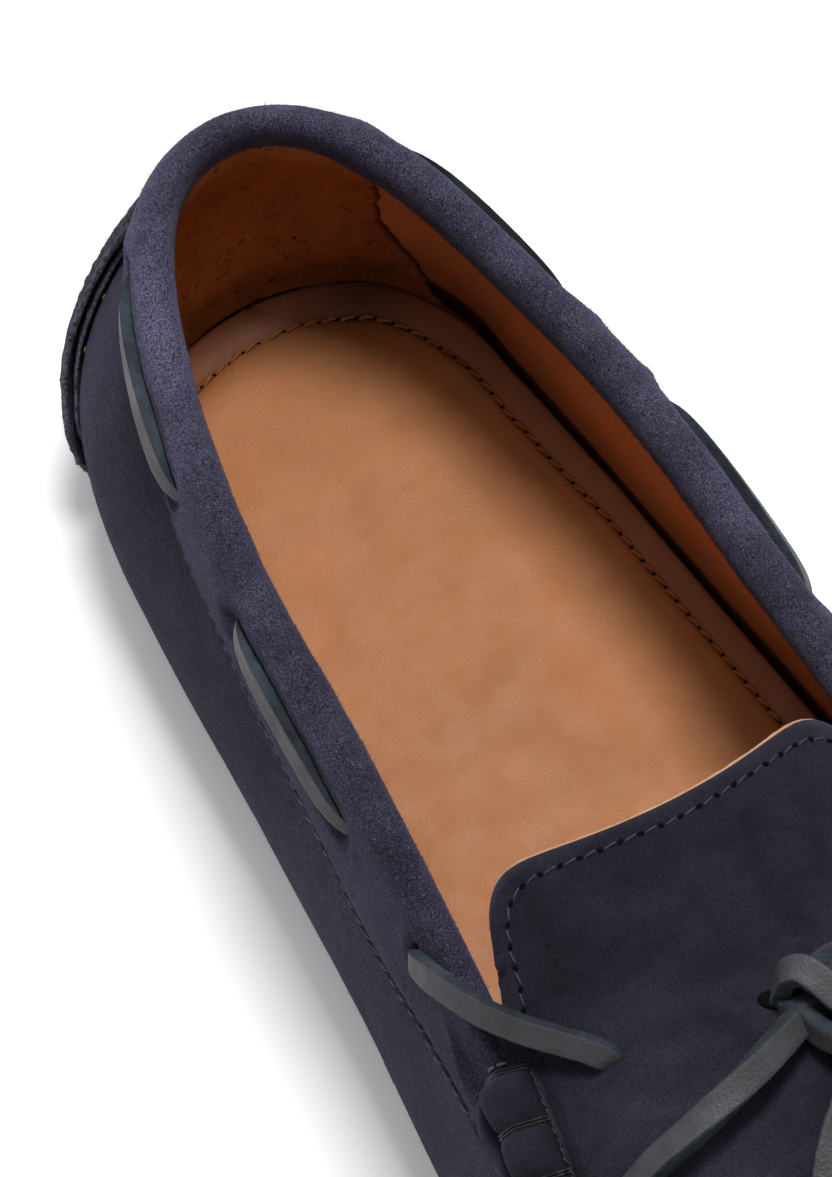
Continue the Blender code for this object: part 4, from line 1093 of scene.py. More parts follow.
def build_band_stitches():
    s, holes = Soup(), Soup()
    around = even_angles(-END_PHI + 0.004, END_PHI - 0.004, 0.6)
    path, up = [], []
    for phi in around:
        x = float(top(phi)[0])
        fall = float(DROP_OF_X(x))
        ahead = float(smooth(108.0, 142.0, x)) ** 1.5
        path.append(off_wall(phi, fall - 1.5, 1.42 * (1 - 0.72 * ahead) - 0.5 * (1 - 0.6 * ahead))[0])
        up.append(wall_normal(phi, v_at_drops(phi, fall - 1.5)))
    path, up = np.array(path), np.array(up).reshape(-1, 3)
    spots, run = stitches(s, path, up, 2.62, 1.75, 0.25, sink=0.25, skew=0.25, rise=0.22)
    discs(holes, path, up, run, spots, 0.33, lift_by=0.06)
    # the seam runs on past the band's end, beside the moccasin roll
    for which in (-1, 1):
        xs = np.arange(140.5, 158.0, 0.5)
        p, u = [], []
        for x in xs:
            phi = float(top_angle(x, which))
            drop = 14.75 - 0.08 * (x - 142.0)
            p.append(off_wall(phi, drop, 0.02)[0])
            u.append(wall_normal(phi, v_at_drops(phi, drop)))
        p, u = np.array(p), np.array(u)
        spots, run = stitches(s, p, u, 2.62, 1.7, 0.18, sink=0.3, skew=0.2)
        discs(holes, p, u, run, spots, 0.28, lift_by=0.0)
    t = s.build("collar_stitches", THREAD_NAVY, "suede")
    h = holes.build("collar_stitch_hole_shade", HOLE, "suede")
    return t, h


# ---------------------------------------------------------------- heel patch
PATCH_OF_Z = open_spline(*zip(*((4.0, 29.0), (7.0, 29.5), (14.0, 30.0), (20.0, 29.5),
                                (25.0, 27.0), (31.0, 23.5), (36.0, 20.5), (42.0, 17.5),
                                (50.0, 16.5))))


def build_patch():
    for name, out, thick, grow, seed in (("heel_patch_inner", 0.35, 0.95, 0.0, 31),
                                         ("heel_patch_outer", 1.55, 1.25, 0.35, 32)):
        s = Soup()
        top_v = float(v_at_drops(0.0, float(DROP_OF_X(11.0)) - 1.0))
        vs = np.linspace(-0.74, top_v, 60)
        cols = np.concatenate([[-1.0, -0.995], np.linspace(-0.985, 0.985, 66), [0.995, 1.0]])
        front, back, tones = [], [], []
        for i, v in enumerate(vs):
            z = float(wall(0.0, v)[2])
            reach = math.radians(float(PATCH_OF_Z(z)) + grow)
            wob = 1 + 0.014 * float(noise3(np.array([z * 1.0, seed, 0.0]), 0.45, seed)) \
                + 0.010 * float(noise3(np.array([z * 1.0, seed, 0.0]), 1.6, seed + 1))
            phis = cols * reach * wob
            limit = v_at_drops_many(phis)
            w = np.minimum(v, limit)
            w = w - 0.03 * (v - (-0.74)) / (top_v + 0.74) * np.abs(cols) ** 3
            p, n = wall(phis, w), wall_normal(phis, w)
            rounding = 0.30 * smooth(0.93, 1.0, np.abs(cols))
            lift_edge = 0.35 * smooth(0.75, 1.0, np.abs(cols)) * (grow + 0.2)
            fuzz = 0.14 * noise3(p, 0.9, seed) + 0.12 * noise3(p, 2.2, seed)
            front.append(p + n * (out + thick + lift_edge - rounding + fuzz)[:, None])
            back.append(p + n * (out + lift_edge + rounding * 0.6)[:, None])
            # painted light: the patch's edges lighter still, lifting the shade they stand in
            edge = smooth(0.94, 1.0, np.abs(cols))
            tones.append(np.concatenate([1.20 * edge, 0.80 * edge[::-1]]))
        s.sheet(front, back, np.array(tones))
        obj = s.build(name, SUEDE_EDGE_LIT, "suede")
    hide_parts("heel_patch")
    # thread seen between the patch and the wall, and a stitched row near its edge
    s = Soup()
    for which in (-1, 1):
        path, up = [], []
        for v in np.linspace(-0.62, 0.80, 90):
            z = float(wall(0.0, v)[2])
            phi = which * math.radians(float(PATCH_OF_Z(z)) - 0.4)
            path.append(wall(phi, v) + wall_normal(phi, v) * 0.15)
            up.append(unit(wall_normal(phi, v) * 0.25 + np.array([1.0, which * 0.35, 0.0])))
        stitches(s, np.array(path), np.array(up), 8.5, 0.7, 0.11, sink=0.2)
    s.build("heel_patch_thread", THREAD_ORANGE, "suede")
    s, holes = Soup(), Soup()
    for which in (-1, 1):
        path, up = [], []
        for v in np.linspace(-0.60, 0.78, 120):
            z = float(wall(0.0, v)[2])
            phi = which * math.radians(float(PATCH_OF_Z(z)) - 4.6)
            path.append(wall(phi, v) + wall_normal(phi, v) * 2.72)
            up.append(wall_normal(phi, v))
        spots, run = stitches(s, np.array(path), np.array(up), 2.65, 1.8, 0.2, sink=0.3)
        discs(holes, np.array(path), np.array(up), run, spots, 0.28)
    s.build("heel_patch_stitches", THREAD_NAVY, "suede")
    holes.build("heel_patch_hole_shade", HOLE, "suede")


def v_at_drops_many(phis):
    return np.array([float(v_at_drops(float(p), float(DROP_OF_X(float(top(p)[0]))) - 1.0))
                     for p in np.atleast_1d(phis)])


# ------------------------------------------------------------------- inside
COUNTER_EDGE = open_spline(
    (-0.95, -0.80, -0.664, -0.47, -0.268, -0.151, 0.005, 0.241, 0.55, 0.80, 0.993, 1.02),
    (0.60, 0.57, 0.531, 0.481, 0.446, 0.402, 0.362, 0.365, 0.405, 0.43, 0.459, 0.462))


def build_counter():
    """Reversed leather over the heel inside, with a raw wavy front edge."""
    s = Soup()
    vs = np.linspace(-0.90, 0.985, 90)
    cols = np.concatenate([[-1.0], np.linspace(-0.992, 0.992, 110), [1.0]])
    front, back, tones = [], [], []
    for v in vs:
        edge = float(COUNTER_EDGE(v))
        w = np.array([v * 60, 4.0, 0.0])
        side_wob = 0.012 * float(noise3(w, 0.21, 41)) + 0.007 * float(noise3(w, 0.8, 42))
        phis = cols * (edge + side_wob)
        p, n = wall(phis, v), wall_normal(phis, v)
        rough = 0.07 * noise3(p, 0.8, 43) + 0.05 * noise3(p, 2.0, 44)
        thin = smooth(0.965, 1.0, np.abs(cols)) * 0.32
        up = float(smooth(0.80, 0.92, v))
        face = -3.12 + 0.70 * up
        more = fill(p)
        front.append(p + n * (face + rough + thin - more)[:, None])
        back.append(p + n * (-2.22 - thin * 0.2 - more)[:, None])
        # painted shade: darker along the raw edge, on both faces, and low down in the heel's unlit
        # corner
        e = smooth(0.965, 0.995, np.abs(cols))
        foot = -0.40 * smooth(16.5, 11.8, p[:, 2] - lift(p[:, 0]))
        tones.append(np.concatenate([np.minimum(-0.55 * e, foot), (-0.6 * e)[::-1]]))
    s.sheet(front, back, np.array(tones))
    s.build("counter_lining", COUNTER, "tan_leather")


def build_lining_thread():
    """Single line of thread that shows on the lining beside the counter."""
    s = Soup()
    for which in (1, -1):
        path, up = [], []
        for t in np.linspace(0, 1, 60):
            phi = float(top_angle(16.0 + 30.0 * t, which))
            drop = 9.0 - 2.6 * t
            path.append(off_wall(phi, drop, -2.42)[0])
            path[-1] = path[-1] - wall_normal(phi, v_at_drops(phi, drop)).reshape(3) * float(
                fill(path[-1][None])[0])
            up.append(-np.array(wall_normal(phi, v_at_drops(phi, drop))).reshape(3))
        stitches(s, np.array(path), np.array(up), 2.9, 1.9, 0.15, sink=0.2)
    s.build("lining_thread", THREAD_ORANGE, "tan_leather")


# x, how far the sock's edge lies further in, and the width of its rim, by side
SOCK_LATERAL = ((3.3, 0.8, 5.6), (9.0, 0.1, 5.9), (17.5, 1.6, 6.5), (31.8, 2.9, 6.3),
                (46.0, 1.1, 5.4), (60.0, -0.7, 4.7), (74.5, -1.35, 4.4), (90.0, -1.5, 4.3),
                (150.0, -1.2, 4.5), (210.0, 0.0, 5.0))
SOCK_MEDIAL = ((3.3, 0.8, 5.6), (9.0, 0.0, 5.1), (60.0, 0.0, 5.1), (210.0, 0.0, 5.0))


def insole_inset(phi):
    """How far inside the widest outline the sock's edge runs."""
    phi = np.mod(phi, 2 * math.pi)
    mirror = np.where(phi > math.pi, 2 * math.pi - phi, phi)
    x = bulge(mirror)[..., 0]
    table = SOCK_LATERAL if float(np.mean(phi)) <= math.pi else SOCK_MEDIAL
    xs, adds, _ = zip(*table)
    return TUCK(mirror) + 0.9 - 1.4 * np.sin(mirror) ** 2 + np.interp(x, xs, adds)


def rim_width(phi):
    phi = float(np.mod(phi, 2 * math.pi))
    table = SOCK_LATERAL if phi <= math.pi else SOCK_MEDIAL
    xs, _, rims = zip(*table)
    return float(np.interp(bulge(min(phi, 2 * math.pi - phi))[0], xs, rims))


def build_insole():
    """Sock: a wide middle panel and a narrower rim outside its stitched line."""
    base = SEAT + 2.2 + GAP + 0.1
    phis = np.concatenate([[0.002], even_angles(0.02, math.pi - 0.02, 2.0, bulge),
                           [math.pi - 0.002]])
    # distance in from the edge on each side, then shares of the middle
    rim = np.array([0.0, 0.12, 0.4, 0.9, 1.8, 2.8, 3.8, 4.4, 4.75, 4.95, 5.1, 5.25, 5.5,
                    5.9, 6.6, 7.6])
    share = np.linspace(0, 1, 50)[1:-1]
    rows, tones, mats = [], [], []

    def height(x, y, d, phi):
        z = base + 3.3 + lift(x)
        z += 0.75 * smooth(0.0, 30.0, d) * 1.0
        z += 0.30 * np.sin(x * 0.045 + 0.6) * np.sin(y * 0.07) * smooth(4, 16, d)
        z -= 0.50 * np.exp(-((d - 5.1) / 0.55) ** 2)          # stitched line is drawn in
        z -= 0.16 * np.exp(-((d - 5.1) / 1.6) ** 2)
        # the rim leans up to the wall
        z += 0.55 * smooth(4.6, 0.6, d)
        z -= 0.60 * smooth(0.45, 0.0, d)
        return z

    for phi in phis:
        inset, across = float(insole_inset(phi)), float(insole_inset(2 * math.pi - phi))
        a, b = ring(phi, inset), ring(2 * math.pi - phi, across)
        width = float(np.linalg.norm(a - b))
        na, nb = ring(phi, inset + 1) - a, ring(2 * math.pi - phi, across + 1) - b
        r = rim * min(1.0, 0.40 * width / rim[-1]) if width / 2 < rim[-1] / 0.80 else rim
        left = [a + na * d * rim_width(phi) / 5.1 for d in r]
        right = [b + nb * d * rim_width(2 * math.pi - phi) / 5.1 for d in r]
        mid = [left[-1] * (1 - q) + right[-1] * q for q in share]
        line = np.array(left + mid + right[::-1])
        # distance in from the nearest edge
        dl = np.concatenate([r, r[-1] + share * np.linalg.norm(left[-1] - right[-1]),
                             r[::-1] * 0 + 99])
        dr = np.concatenate([r * 0 + 99, r[-1] + (1 - share) * np.linalg.norm(left[-1] - right[-1]),
                             r[::-1]])
        d = np.minimum(dl, dr)
        end = np.minimum((line[:, 0] - bulge(0.0)[0] - insole_inset(0.0)) * 5.1 / 5.6,
                         bulge(math.pi)[0] - insole_inset(math.pi) - line[:, 0])
        d = np.minimum(d, np.maximum(end, 0.0))
        line[:, 2] = height(line[:, 0], line[:, 1], d, phi)
        rows.append(line)
        # painted shade in the stitched line, at the very edge against the wall, and most where least
        # light reaches, at the back of the heel on the outer side; the rim a touch darker; painted
        # light lifts the outer side further forward
        deep = np.exp(-((line[:, 0] - 19.0) / 8.0) ** 2 - ((line[:, 1] - 15.0) / 10.0) ** 2)
        painted_light_side = 0.13 * bell(line[:, 1] - 19.0, 8.0) * smooth(50.0, 75.0, line[:, 0])
        tones.append(-0.45 * np.exp(-((d - 5.15) / 0.45) ** 2) - 0.06 * smooth(5.1, 4.9, d)
                     - 0.35 * smooth(0.7, 0.0, d) - 0.60 * deep + painted_light_side)
        mats.append(d)
    rows, tones, dist = np.array(rows), np.array(tones), np.array(mats)
    rows[..., 2] += 0.05 * noise3(rows, 0.10, 51) + 0.02 * noise3(rows, 0.35, 52)
    s = Soup()
    s.grid(rows, tone=tones)
    faces = np.array(s.faces)
    flat = dist.reshape(-1)
    which = (flat[faces].mean(axis=1) < 5.1).astype(np.int32)
    s.mats = which.tolist()
    obj = s.build("insole_sock", [INSOLE, RIM], "tan_leather")
    if obj.data.polygons[len(obj.data.polygons) // 2].normal.z < 0:
        obj.data.flip_normals()
    solidify(obj, 2.0)
    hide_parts("insole")

    # its stitches: orange thread in a sunken line
    loop = even_angles(0.0, 2 * math.pi, 0.7, bulge)
    pts = []
    for phi in loop:
        pts.append(ring(phi, float(insole_inset(phi)) + rim_width(phi)))
    pts = np.array(pts)
    tree = KDTree(rows.size // 3)
    flat_pts = rows.reshape(-1, 3)
    for i, q in enumerate(flat_pts):
        tree.insert((q[0], q[1], 0.0), i)
    tree.balance()
    for p in pts:
        near = tree.find_n((p[0], p[1], 0.0), 3)
        w = np.array([1 / (0.05 + m[2]) for m in near])
        p[2] = float((w * [flat_pts[m[1]][2] for m in near]).sum() / w.sum())
    pts[:, 2] = smooth_line(pts[:, 2], 5)
    up = np.broadcast_to(np.array([0.0, 0.0, 1.0]), pts.shape)
    s, holes = Soup(), Soup()
    for _ in range(6):
        pts[1:-1] = (pts[:-2] + 2 * pts[1:-1] + pts[2:]) / 4
    spots, run = stitches(s, pts, up, 2.55, 2.35, 0.27, sink=0.35, skew=0.24, rise=0.14)
    discs(holes, pts, up, run, spots, 0.24, lift_by=0.10, squash=1.2)
    s.build("insole_stitches", THREAD_ORANGE, "tan_leather")
    holes.build("insole_stitch_hole_shade", HOLE, "tan_leather")


def smooth_line(z, times):
    z = np.array(z, float)
    for _ in range(times):
        z[1:-1] = (z[:-2] + z[1:-1] * 2 + z[2:]) / 4
    return z


# ------------------------------------------------------- tongue and moccasin roll
def tongue_line(across_values, run_values, out=0.0):
    path = tongue(run_values, across_values)
    e = 1e-3
    a = tongue(np.minimum(run_values + e, 1.0), across_values) - tongue(run_values - e, across_values)
    b = tongue(run_values, across_values + e) - tongue(run_values, across_values - e)
    n = unit(np.cross(a, b))
    n = np.where(n[:, 2:3] < 0, -n, n)
    return path + n * out, n


def build_tongue_details():
    # cut edge of the lining, a little proud all along the free edge
    a = np.linspace(-1.0, 1.0, 150)
    path, n = tongue_line(a, np.full(150, 1.0))
    side_rows = []
    for which in (-1.0, 1.0):
        r = np.linspace(0.42, 1.0, 18)
        side_rows.append(tongue_line(np.full(18, which), r))
    p = np.concatenate([side_rows[0][0][:-1], path, side_rows[1][0][-2::-1]])
    up = np.concatenate([side_rows[0][1][:-1], n, side_rows[1][1][-2::-1]])
    along = unit(np.gradient(p, axis=0))
    outward = unit(np.cross(along, up))
    middle = np.array([138.0, 0.0, 66.0])
    if ((p - middle) * outward).sum() < 0:
        outward = -outward
    fade = smooth(0.0, 0.08, np.linspace(0, 1, len(p))) * smooth(1.0, 0.92, np.linspace(0, 1, len(p)))
    ragged = 0.08 * noise3(p, 0.6, 61) + 0.05 * noise3(p, 2.0, 62)
    rows = []
    zero = np.zeros(len(p))
    for d_out, d_up in ((-2.2, -1.72), (0.15, -1.90), (0.42, -1.82), (0.48, -1.50),
                        (0.42, -1.18), (0.15, -1.08), (-2.2, -1.10)):
        reach = d_out * fade + ragged if d_out > 0 else zero + d_out
        rows.append(p + outward * reach[:, None] + up * d_up)
    s = Soup()
    s.grid(np.array(rows).transpose(1, 0, 2), closed_u=True, cap=True)
    s.build("tongue_lining_edge", CUT_EDGE, "tan_leather")

    # stitched line set in from the edge, round both corners
    x0, width, middle_y = float(top(THROAT_PHI)[0]), 27.5, -0.1
    half_line = np.array([(147.2, 28.3), (145.3, 27.6), (143.3, 26.8), (141.2, 26.1),
                          (138.4, 25.45), (136.4, 24.75), (134.8, 24.0), (133.6, 23.1),
                          (132.75, 21.7), (132.4, 19.8), (132.9, 17.4), (133.5, 15.1),
                          (134.1, 12.7), (134.7, 10.1), (135.2, 7.3), (135.65, 4.5),
                          (135.95, 1.5)])
    there = half_line * [1.0, -1.0]
    line = np.concatenate([there, half_line[::-1]])
    dense = resample(np.column_stack([line, np.zeros(len(line))]), step=0.5)
    for _ in range(4):
        dense[1:-1] = (dense[:-2] + 2 * dense[1:-1] + dense[2:]) / 4
    half = (TOP_Y(THROAT_PHI) - TOP_Y(2 * math.pi - THROAT_PHI)) / 2
    bow = (CROWN_Z(x0) - TOP_Z(THROAT_PHI)) / half ** 2

    def over_tongue(x, y):
        return stack(x, y + middle_y, CROWN_Z(x) - bow * y ** 2)

    e = 0.05
    x, y = dense[:, 0], dense[:, 1]
    n = unit(np.cross(over_tongue(x + e, y) - over_tongue(x - e, y),
                      over_tongue(x, y + e) - over_tongue(x, y - e)))
    n = np.where(n[:, 2:3] < 0, -n, n)
    p = over_tongue(x, y)
    p = p + n * (relief(p) - 0.02)[:, None]
    s, holes = Soup(), Soup()
    spots, run = stitches(s, p, n, 2.7, 2.05, 0.17, sink=0.3, skew=0.22)
    discs(holes, p, n, run, spots, 0.34, lift_by=0.08, squash=1.3)
    s.build("tongue_stitches", THREAD_PALE, "suede")
    holes.build("tongue_stitch_hole_shade", HOLE, "suede")


def seam_points(phi, ds):
    """Points and normals at distances from the seam: + on the apron, - down the wall."""
    ds = np.asarray(ds, float)
    v = v_at_drops(phi, np.maximum(-ds, 0.0))
    low, low_n = wall(phi, v), wall_normal(phi, v)
    a, m = apron(phi, 0.0), apron(phi, 1.0)
    q = np.clip(ds / max(float(np.linalg.norm(m - a)), 1.0), 0.0, 1.0)
    high = apron(phi, q)
    du = apron(phi, np.minimum(q + 0.01, 1.0)) - apron(phi, np.maximum(q - 0.01, 0.0))
    dp = apron(phi + 1e-3, q) - apron(phi - 1e-3, q)
    n = unit(np.cross(du, dp))
    n = np.where(n[:, 2:3] > 0, n, -n)
    on_apron = (ds > 0)[:, None]
    points = np.where(on_apron, high, low)
    # the normals turn smoothly where side and apron meet
    mix = smooth(-2.5, 2.5, ds)[:, None]
    return points, unit(low_n * (1 - mix) + n * mix)


def seam_point(phi, d):
    """Point and outward normal d mm from the seam: + on the apron, - down the wall."""
    if d <= 0:
        drop = -d
        v = float(v_at_drops(phi, drop))
        return wall(phi, v), wall_normal(phi, v)
    a, m = apron(phi, 0.0), apron(phi, 1.0)
    reach = max(float(np.linalg.norm(m - a)), 1.0)
    q = min(d / reach, 1.0)
    p = apron(phi, q)
    e = 1e-3
    du = apron(phi, min(q + 0.01, 1.0)) - apron(phi, max(q - 0.01, 0.0))
    dp = apron(phi + e, q) - apron(phi - e, q)
    n = unit(np.cross(du, dp))
    return p, n if n[2] > 0 else -n


ROLL_D = np.concatenate([[-12.8, -12.0, -11.2], np.arange(-10.5, -5.3, 0.5),
                         np.arange(-5.3, 4.9, 0.35), [5.2, 5.8, 6.4]])
ROLL_IN, ROLL_OUT = 3.9, -4.5       # the roll's lacing lines, from the seam
ROLL_FROM = 145.2                   # x where the gathered ridge begins
ROLL_PITCH = 7.3


def build_roll():
    """Gathered seam round the forefoot: a raised roll laced on both sides."""
    start = float(top_angle(ROLL_FROM))
    phis = even_angles(start, 2 * math.pi - start, 0.8)
    edge = top(phis)
    run = np.concatenate([[0.0], np.cumsum(np.linalg.norm(np.diff(edge, axis=0), axis=1))])
    half = run[-1] / 2
    ahead = np.minimum(run, run[-1] - run)               # mm forward from either end
    middle, span = (ROLL_IN + ROLL_OUT) / 2, ROLL_IN - ROLL_OUT
    # the cross stitches slant: their inner ends lie further forward
    slant = 5.0 * smooth(half - 10.0, half - 60.0, ahead)
    g = ahead[:, None] - slant[:, None] * (ROLL_D[None, :] - middle) / span - 3.0
    count = round((half - 3.0) / ROLL_PITCH)
    pitch = (half - 3.0) / count
    phase = np.mod(g / pitch, 1.0)
    away = np.minimum(phase, 1 - phase) * pitch
    rows, tones, normals = [], [], []
    d = ROLL_D
    off_centre = np.abs(d - middle)
    edge_off = off_centre - span / 2
    for i, phi in enumerate(phis):
        p, nn = seam_points(float(phi), d)
        pinch = bell(away[i], 0.75)
        swell = 0.5 - 0.5 * np.cos(2 * math.pi * phase[i])
        begin = smooth(-0.4, 1.6, g[i])
        roof = smooth(0.0, -0.9, edge_off)
        h = (1.75 + 0.30 * swell - 0.75 * pinch) * roof + 0.65 * bell(d + 2.6, 1.9) * roof
        h = h + 0.12 - 0.70 * bell(edge_off - 0.05, 0.40)
        h = h * begin
        # puckered ridge of the side, outside the lacing
        tall = float(np.interp(ahead[i], (0, 3, 10, 25, 200), (1.6, 2.7, 2.3, 1.4, 0.9)))
        pucker = tall - 0.35 * swell + 0.25 * noise3(p, 0.3, 71)
        h = h + pucker * bell(d + 8.3, 1.45)
        h = h + 0.22 * bell(d - ROLL_IN - 1.3, 0.8) * (1 - swell) * begin
        h = np.where((d < -12.4) | (d > 6.2), -0.5, h)
        h = np.where((d < -11.6) | (d > 5.7), np.minimum(h, 0.03), h)
        rows.append(p + nn * h[:, None])
        normals.append(nn)
        # painted shade along both lacing lines, at the pinches, in the groove just outside the outer
        # line and at the outer foot of the ridge; painted light on the puckered ridge; from just
        # outside the outer line inward the suede is darker, like the apron
        tones.append(-0.60 * bell(edge_off, 0.45) * begin - 0.20 * pinch * roof * begin
                     + 0.45 * bell(d + 8.4, 1.4) - 0.28 * smooth(-6.2, -5.2, d)
                     - 0.40 * bell(d + 5.4, 0.6) - 0.22 * bell(d + 11.4, 0.7))
    rows, tones, normals = np.array(rows), np.array(tones), np.array(normals)
    rows += normals * (0.05 * noise3(rows, 0.7, 72) + 0.03 * noise3(rows, 1.6, 73))[..., None]
    s = Soup()
    s.grid(rows, tone=tones)
    obj = s.build("moccasin_roll", SUEDE, "suede")
    if obj.data.polygons[len(obj.data.polygons) // 2].normal.z < 0:
        obj.data.flip_normals()
    solidify(obj, 0.5)

    # waxed cord: along both sides of the roll and over it at every pinch
    s = Soup()
    ends_at = []
    for line in (ROLL_OUT, ROLL_IN):
        k = int(np.argmin(np.abs(ROLL_D - line)))
        first = int(np.argmax(g[:, k] > 0.0))
        last = len(g) - 1 - int(np.argmax(g[::-1, k] > 0.0))
        cut = slice(first, last + 1)
        normal = normals[cut, k]
        r = run[cut]
        centre = rows[cut, k] + normal * 0.26
        wobble = 0.15 * np.sin(r / pitch * 4 * math.pi + line)
        centre = centre + normal * wobble[:, None]
        cross = unit(np.cross(np.gradient(centre, axis=0), normal))
        for turn in (0.0, math.pi):
            spin = r * 2.4 + turn
            tube(s, centre + cross * (0.16 * np.cos(spin))[:, None]
                 + normal * (0.16 * np.sin(spin))[:, None], 0.23, sides=6, up=normal)
    cols = np.where((ROLL_D >= ROLL_OUT - 0.3) & (ROLL_D <= ROLL_IN + 0.3))[0]
    for which in (0, 1):
        index = np.arange(len(g)) if which == 0 else np.arange(len(g))[::-1]
        index = index[:len(g) // 2 + 1]
        for j in range(count + 1):
            for shift in (-0.22, 0.22):
                want = j * pitch + 0.15 + shift
                path, up = [], []
                for c in cols:
                    column = g[index, c]
                    if want > column[-1] or want < column[0]:
                        continue
                    point = [np.interp(want, column, rows[index, c, a]) for a in range(3)]
                    normal = [np.interp(want, column, normals[index, c, a]) for a in range(3)]
                    path.append(np.array(point) + np.array(normal) * 0.12)
                    up.append(normal)
                if len(path) > 5:
                    tube(s, np.array(path), 0.20, sides=6, up=np.array(up))
    s.build("moccasin_cord", CORD_WAX, "suede")
    # short row of machine stitches over the end of the ridge
    s = Soup()
    for which in (-1, 1):
        path, up = [], []
        for t in np.linspace(0, 1, 20):
            phi = float(top_angle(146.6 + 2.6 * t, which)) % (2 * math.pi)
            p, n = seam_points(phi, np.array([-2.0 + 5.0 * t]))
            path.append(p[0] + n[0] * 0.42)
            up.append(n[0])
        stitches(s, np.array(path), np.array(up), 2.0, 1.3, 0.24, sink=0.3)
    s.build("roll_end_stitches", THREAD_NAVY, "suede")


# ----------------------------------------------------------------- the lace
def cover(x, y):
    """Height and outward normal of the upper's top side at a point in plan."""
    t = min(max((x - TOP_START) / (TOP_END - TOP_START), THROAT), 0.99)
    phi = float(angle_of(t))
    a, b = top(phi), top(2 * math.pi - phi)
    middle, half = (a[1] + b[1]) / 2, (a[1] - b[1]) / 2
    s = (y - middle) / half
    if abs(s) <= 1.0:
        rise = float(CROWN_Z(x)) - a[2]
        slope = -2 * s * rise / half
        ahead = float(CROWN_Z(x + 1.0) - CROWN_Z(x - 1.0)) / 2
        n = np.array([-ahead, -slope, 1.0])
        ridge = 1.2 * math.exp(-(((1 - abs(s)) * half) / 3.0) ** 2)
        return a[2] + rise * (1 - s * s) + ridge, n / np.linalg.norm(n)
    which = phi if s > 0 else 2 * math.pi - phi
    line = wall(which, np.linspace(1.0, 0.0, 41))
    k = int(np.argmin(np.abs(line[:, 1] - y)))
    v = 1.0 - k / 40.0
    n = wall_normal(which, v)
    near = np.linalg.norm(line[k] - line[0])
    ridge = 1.2 * math.exp(-(near / 3.0) ** 2)
    return line[k][2] + ridge * n[2], n


def lace(name, path, up, wide, thick, roll=None, shade=0.0):
    """Thong with a grain face, grey-blue cut edges and a rough underside."""
    rows, edge, face, across = ribbon(path, up, wide, thick, roll=roll)
    n = len(rows)
    # the grain wrinkles and the cut edges are fibrous
    grain = (edge < 0.5)
    centre = rows.mean(axis=1, keepdims=True)
    outward = unit(rows - centre)
    r = np.where(grain, 0.035, 0.06) * noise3(rows, 1.4, 81) + 0.02 * noise3(rows, 3.6, 82)
    rows = rows + outward * r[..., None]
    s = Soup()
    s.grid(rows, closed_u=True, tone=shade + 0.10 * noise3(rows, 1.1, 83), cap=True)
    faces = s.faces
    cols = rows.shape[1]
    mat = []
    for f in faces:
        if len(f) > 4:
            mat.append(1)
            continue
        c = sorted({int(k) % cols for k in f})
        flat = [edge[0, k] for k in c]
        mat.append(1 if max(flat) > 0.5 else 0)
    s.mats = mat
    return s.build(name, [LACE_GRAIN, LACE_EDGE], "lace_leather")


# how far each bar's grain side leans up at its two ends, and its thickness
BAR_LOOK = {"lace_bar_rear_medial": ((0.02, 0.50), 1.75),
            "lace_bar_front_medial": ((0.26, 0.42), 2.1),
            "lace_bar_rear_lateral": ((0.30, 0.30), 1.9),
            "lace_bar_front_lateral": ((0.30, 0.45), 1.9)}


def build_bars():
    for bar in BARS:
        name, which = bar[0], bar[1]
        path, up, wide, thick = [], [], [], []
        for s in np.linspace(-0.045, 1.045, 46):
            x, drop, out = bar_line(bar, s)
            phi = float(top_angle(x, which))
            path.append(off_wall(phi, drop, out)[0])
            n = np.array(wall_normal(phi, v_at_drops(phi, drop))).reshape(3)
            # the grain side looks outward, only a little up
            flat = unit(n * np.array([1.0, 1.0, 0.0]))
            lean, stock = BAR_LOOK[name]
            up.append(unit(flat + np.array([0.0, 0.0, float(np.interp(s, (0.0, 1.0), lean))])))
            t = abs(2 * s - 1)
            body = max(0.0, 1 - t ** 4.0)
            wide.append(1.5 + 1.9 * body)
            thick.append(0.9 + (stock - 0.9) * body)
        # the lateral bars get painted shade, as under the band's overhang
        obj = lace("visible_" + name[5:], path, up, wide, thick, shade=-0.3 if which > 0 else 0.0)
        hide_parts(name)


# x, y, z and the way the grain side looks; the medial one
CROSS = (
    (127.7, -32.4, 51.4, 0.10, -0.90, 0.42), (128.5, -33.9, 52.8, 0.14, -0.88, 0.45),
    (130.0, -34.9, 54.4, 0.20, -0.84, 0.50), (132.7, -35.0, 56.2, 0.26, -0.76, 0.58),
    (136.6, -34.2, 58.0, 0.36, -0.64, 0.68),
    (142.2, -32.4, 60.0, 0.46, -0.52, 0.72), (147.4, -29.5, 61.4, 0.50, -0.46, 0.74),
    (151.8, -25.9, 62.0, 0.51, -0.45, 0.74), (154.2, -23.6, 61.9, 0.51, -0.45, 0.74),
    (155.9, -22.0, 61.2, 0.54, -0.43, 0.72), (156.7, -21.1, 59.2, 0.60, -0.38, 0.70),
)


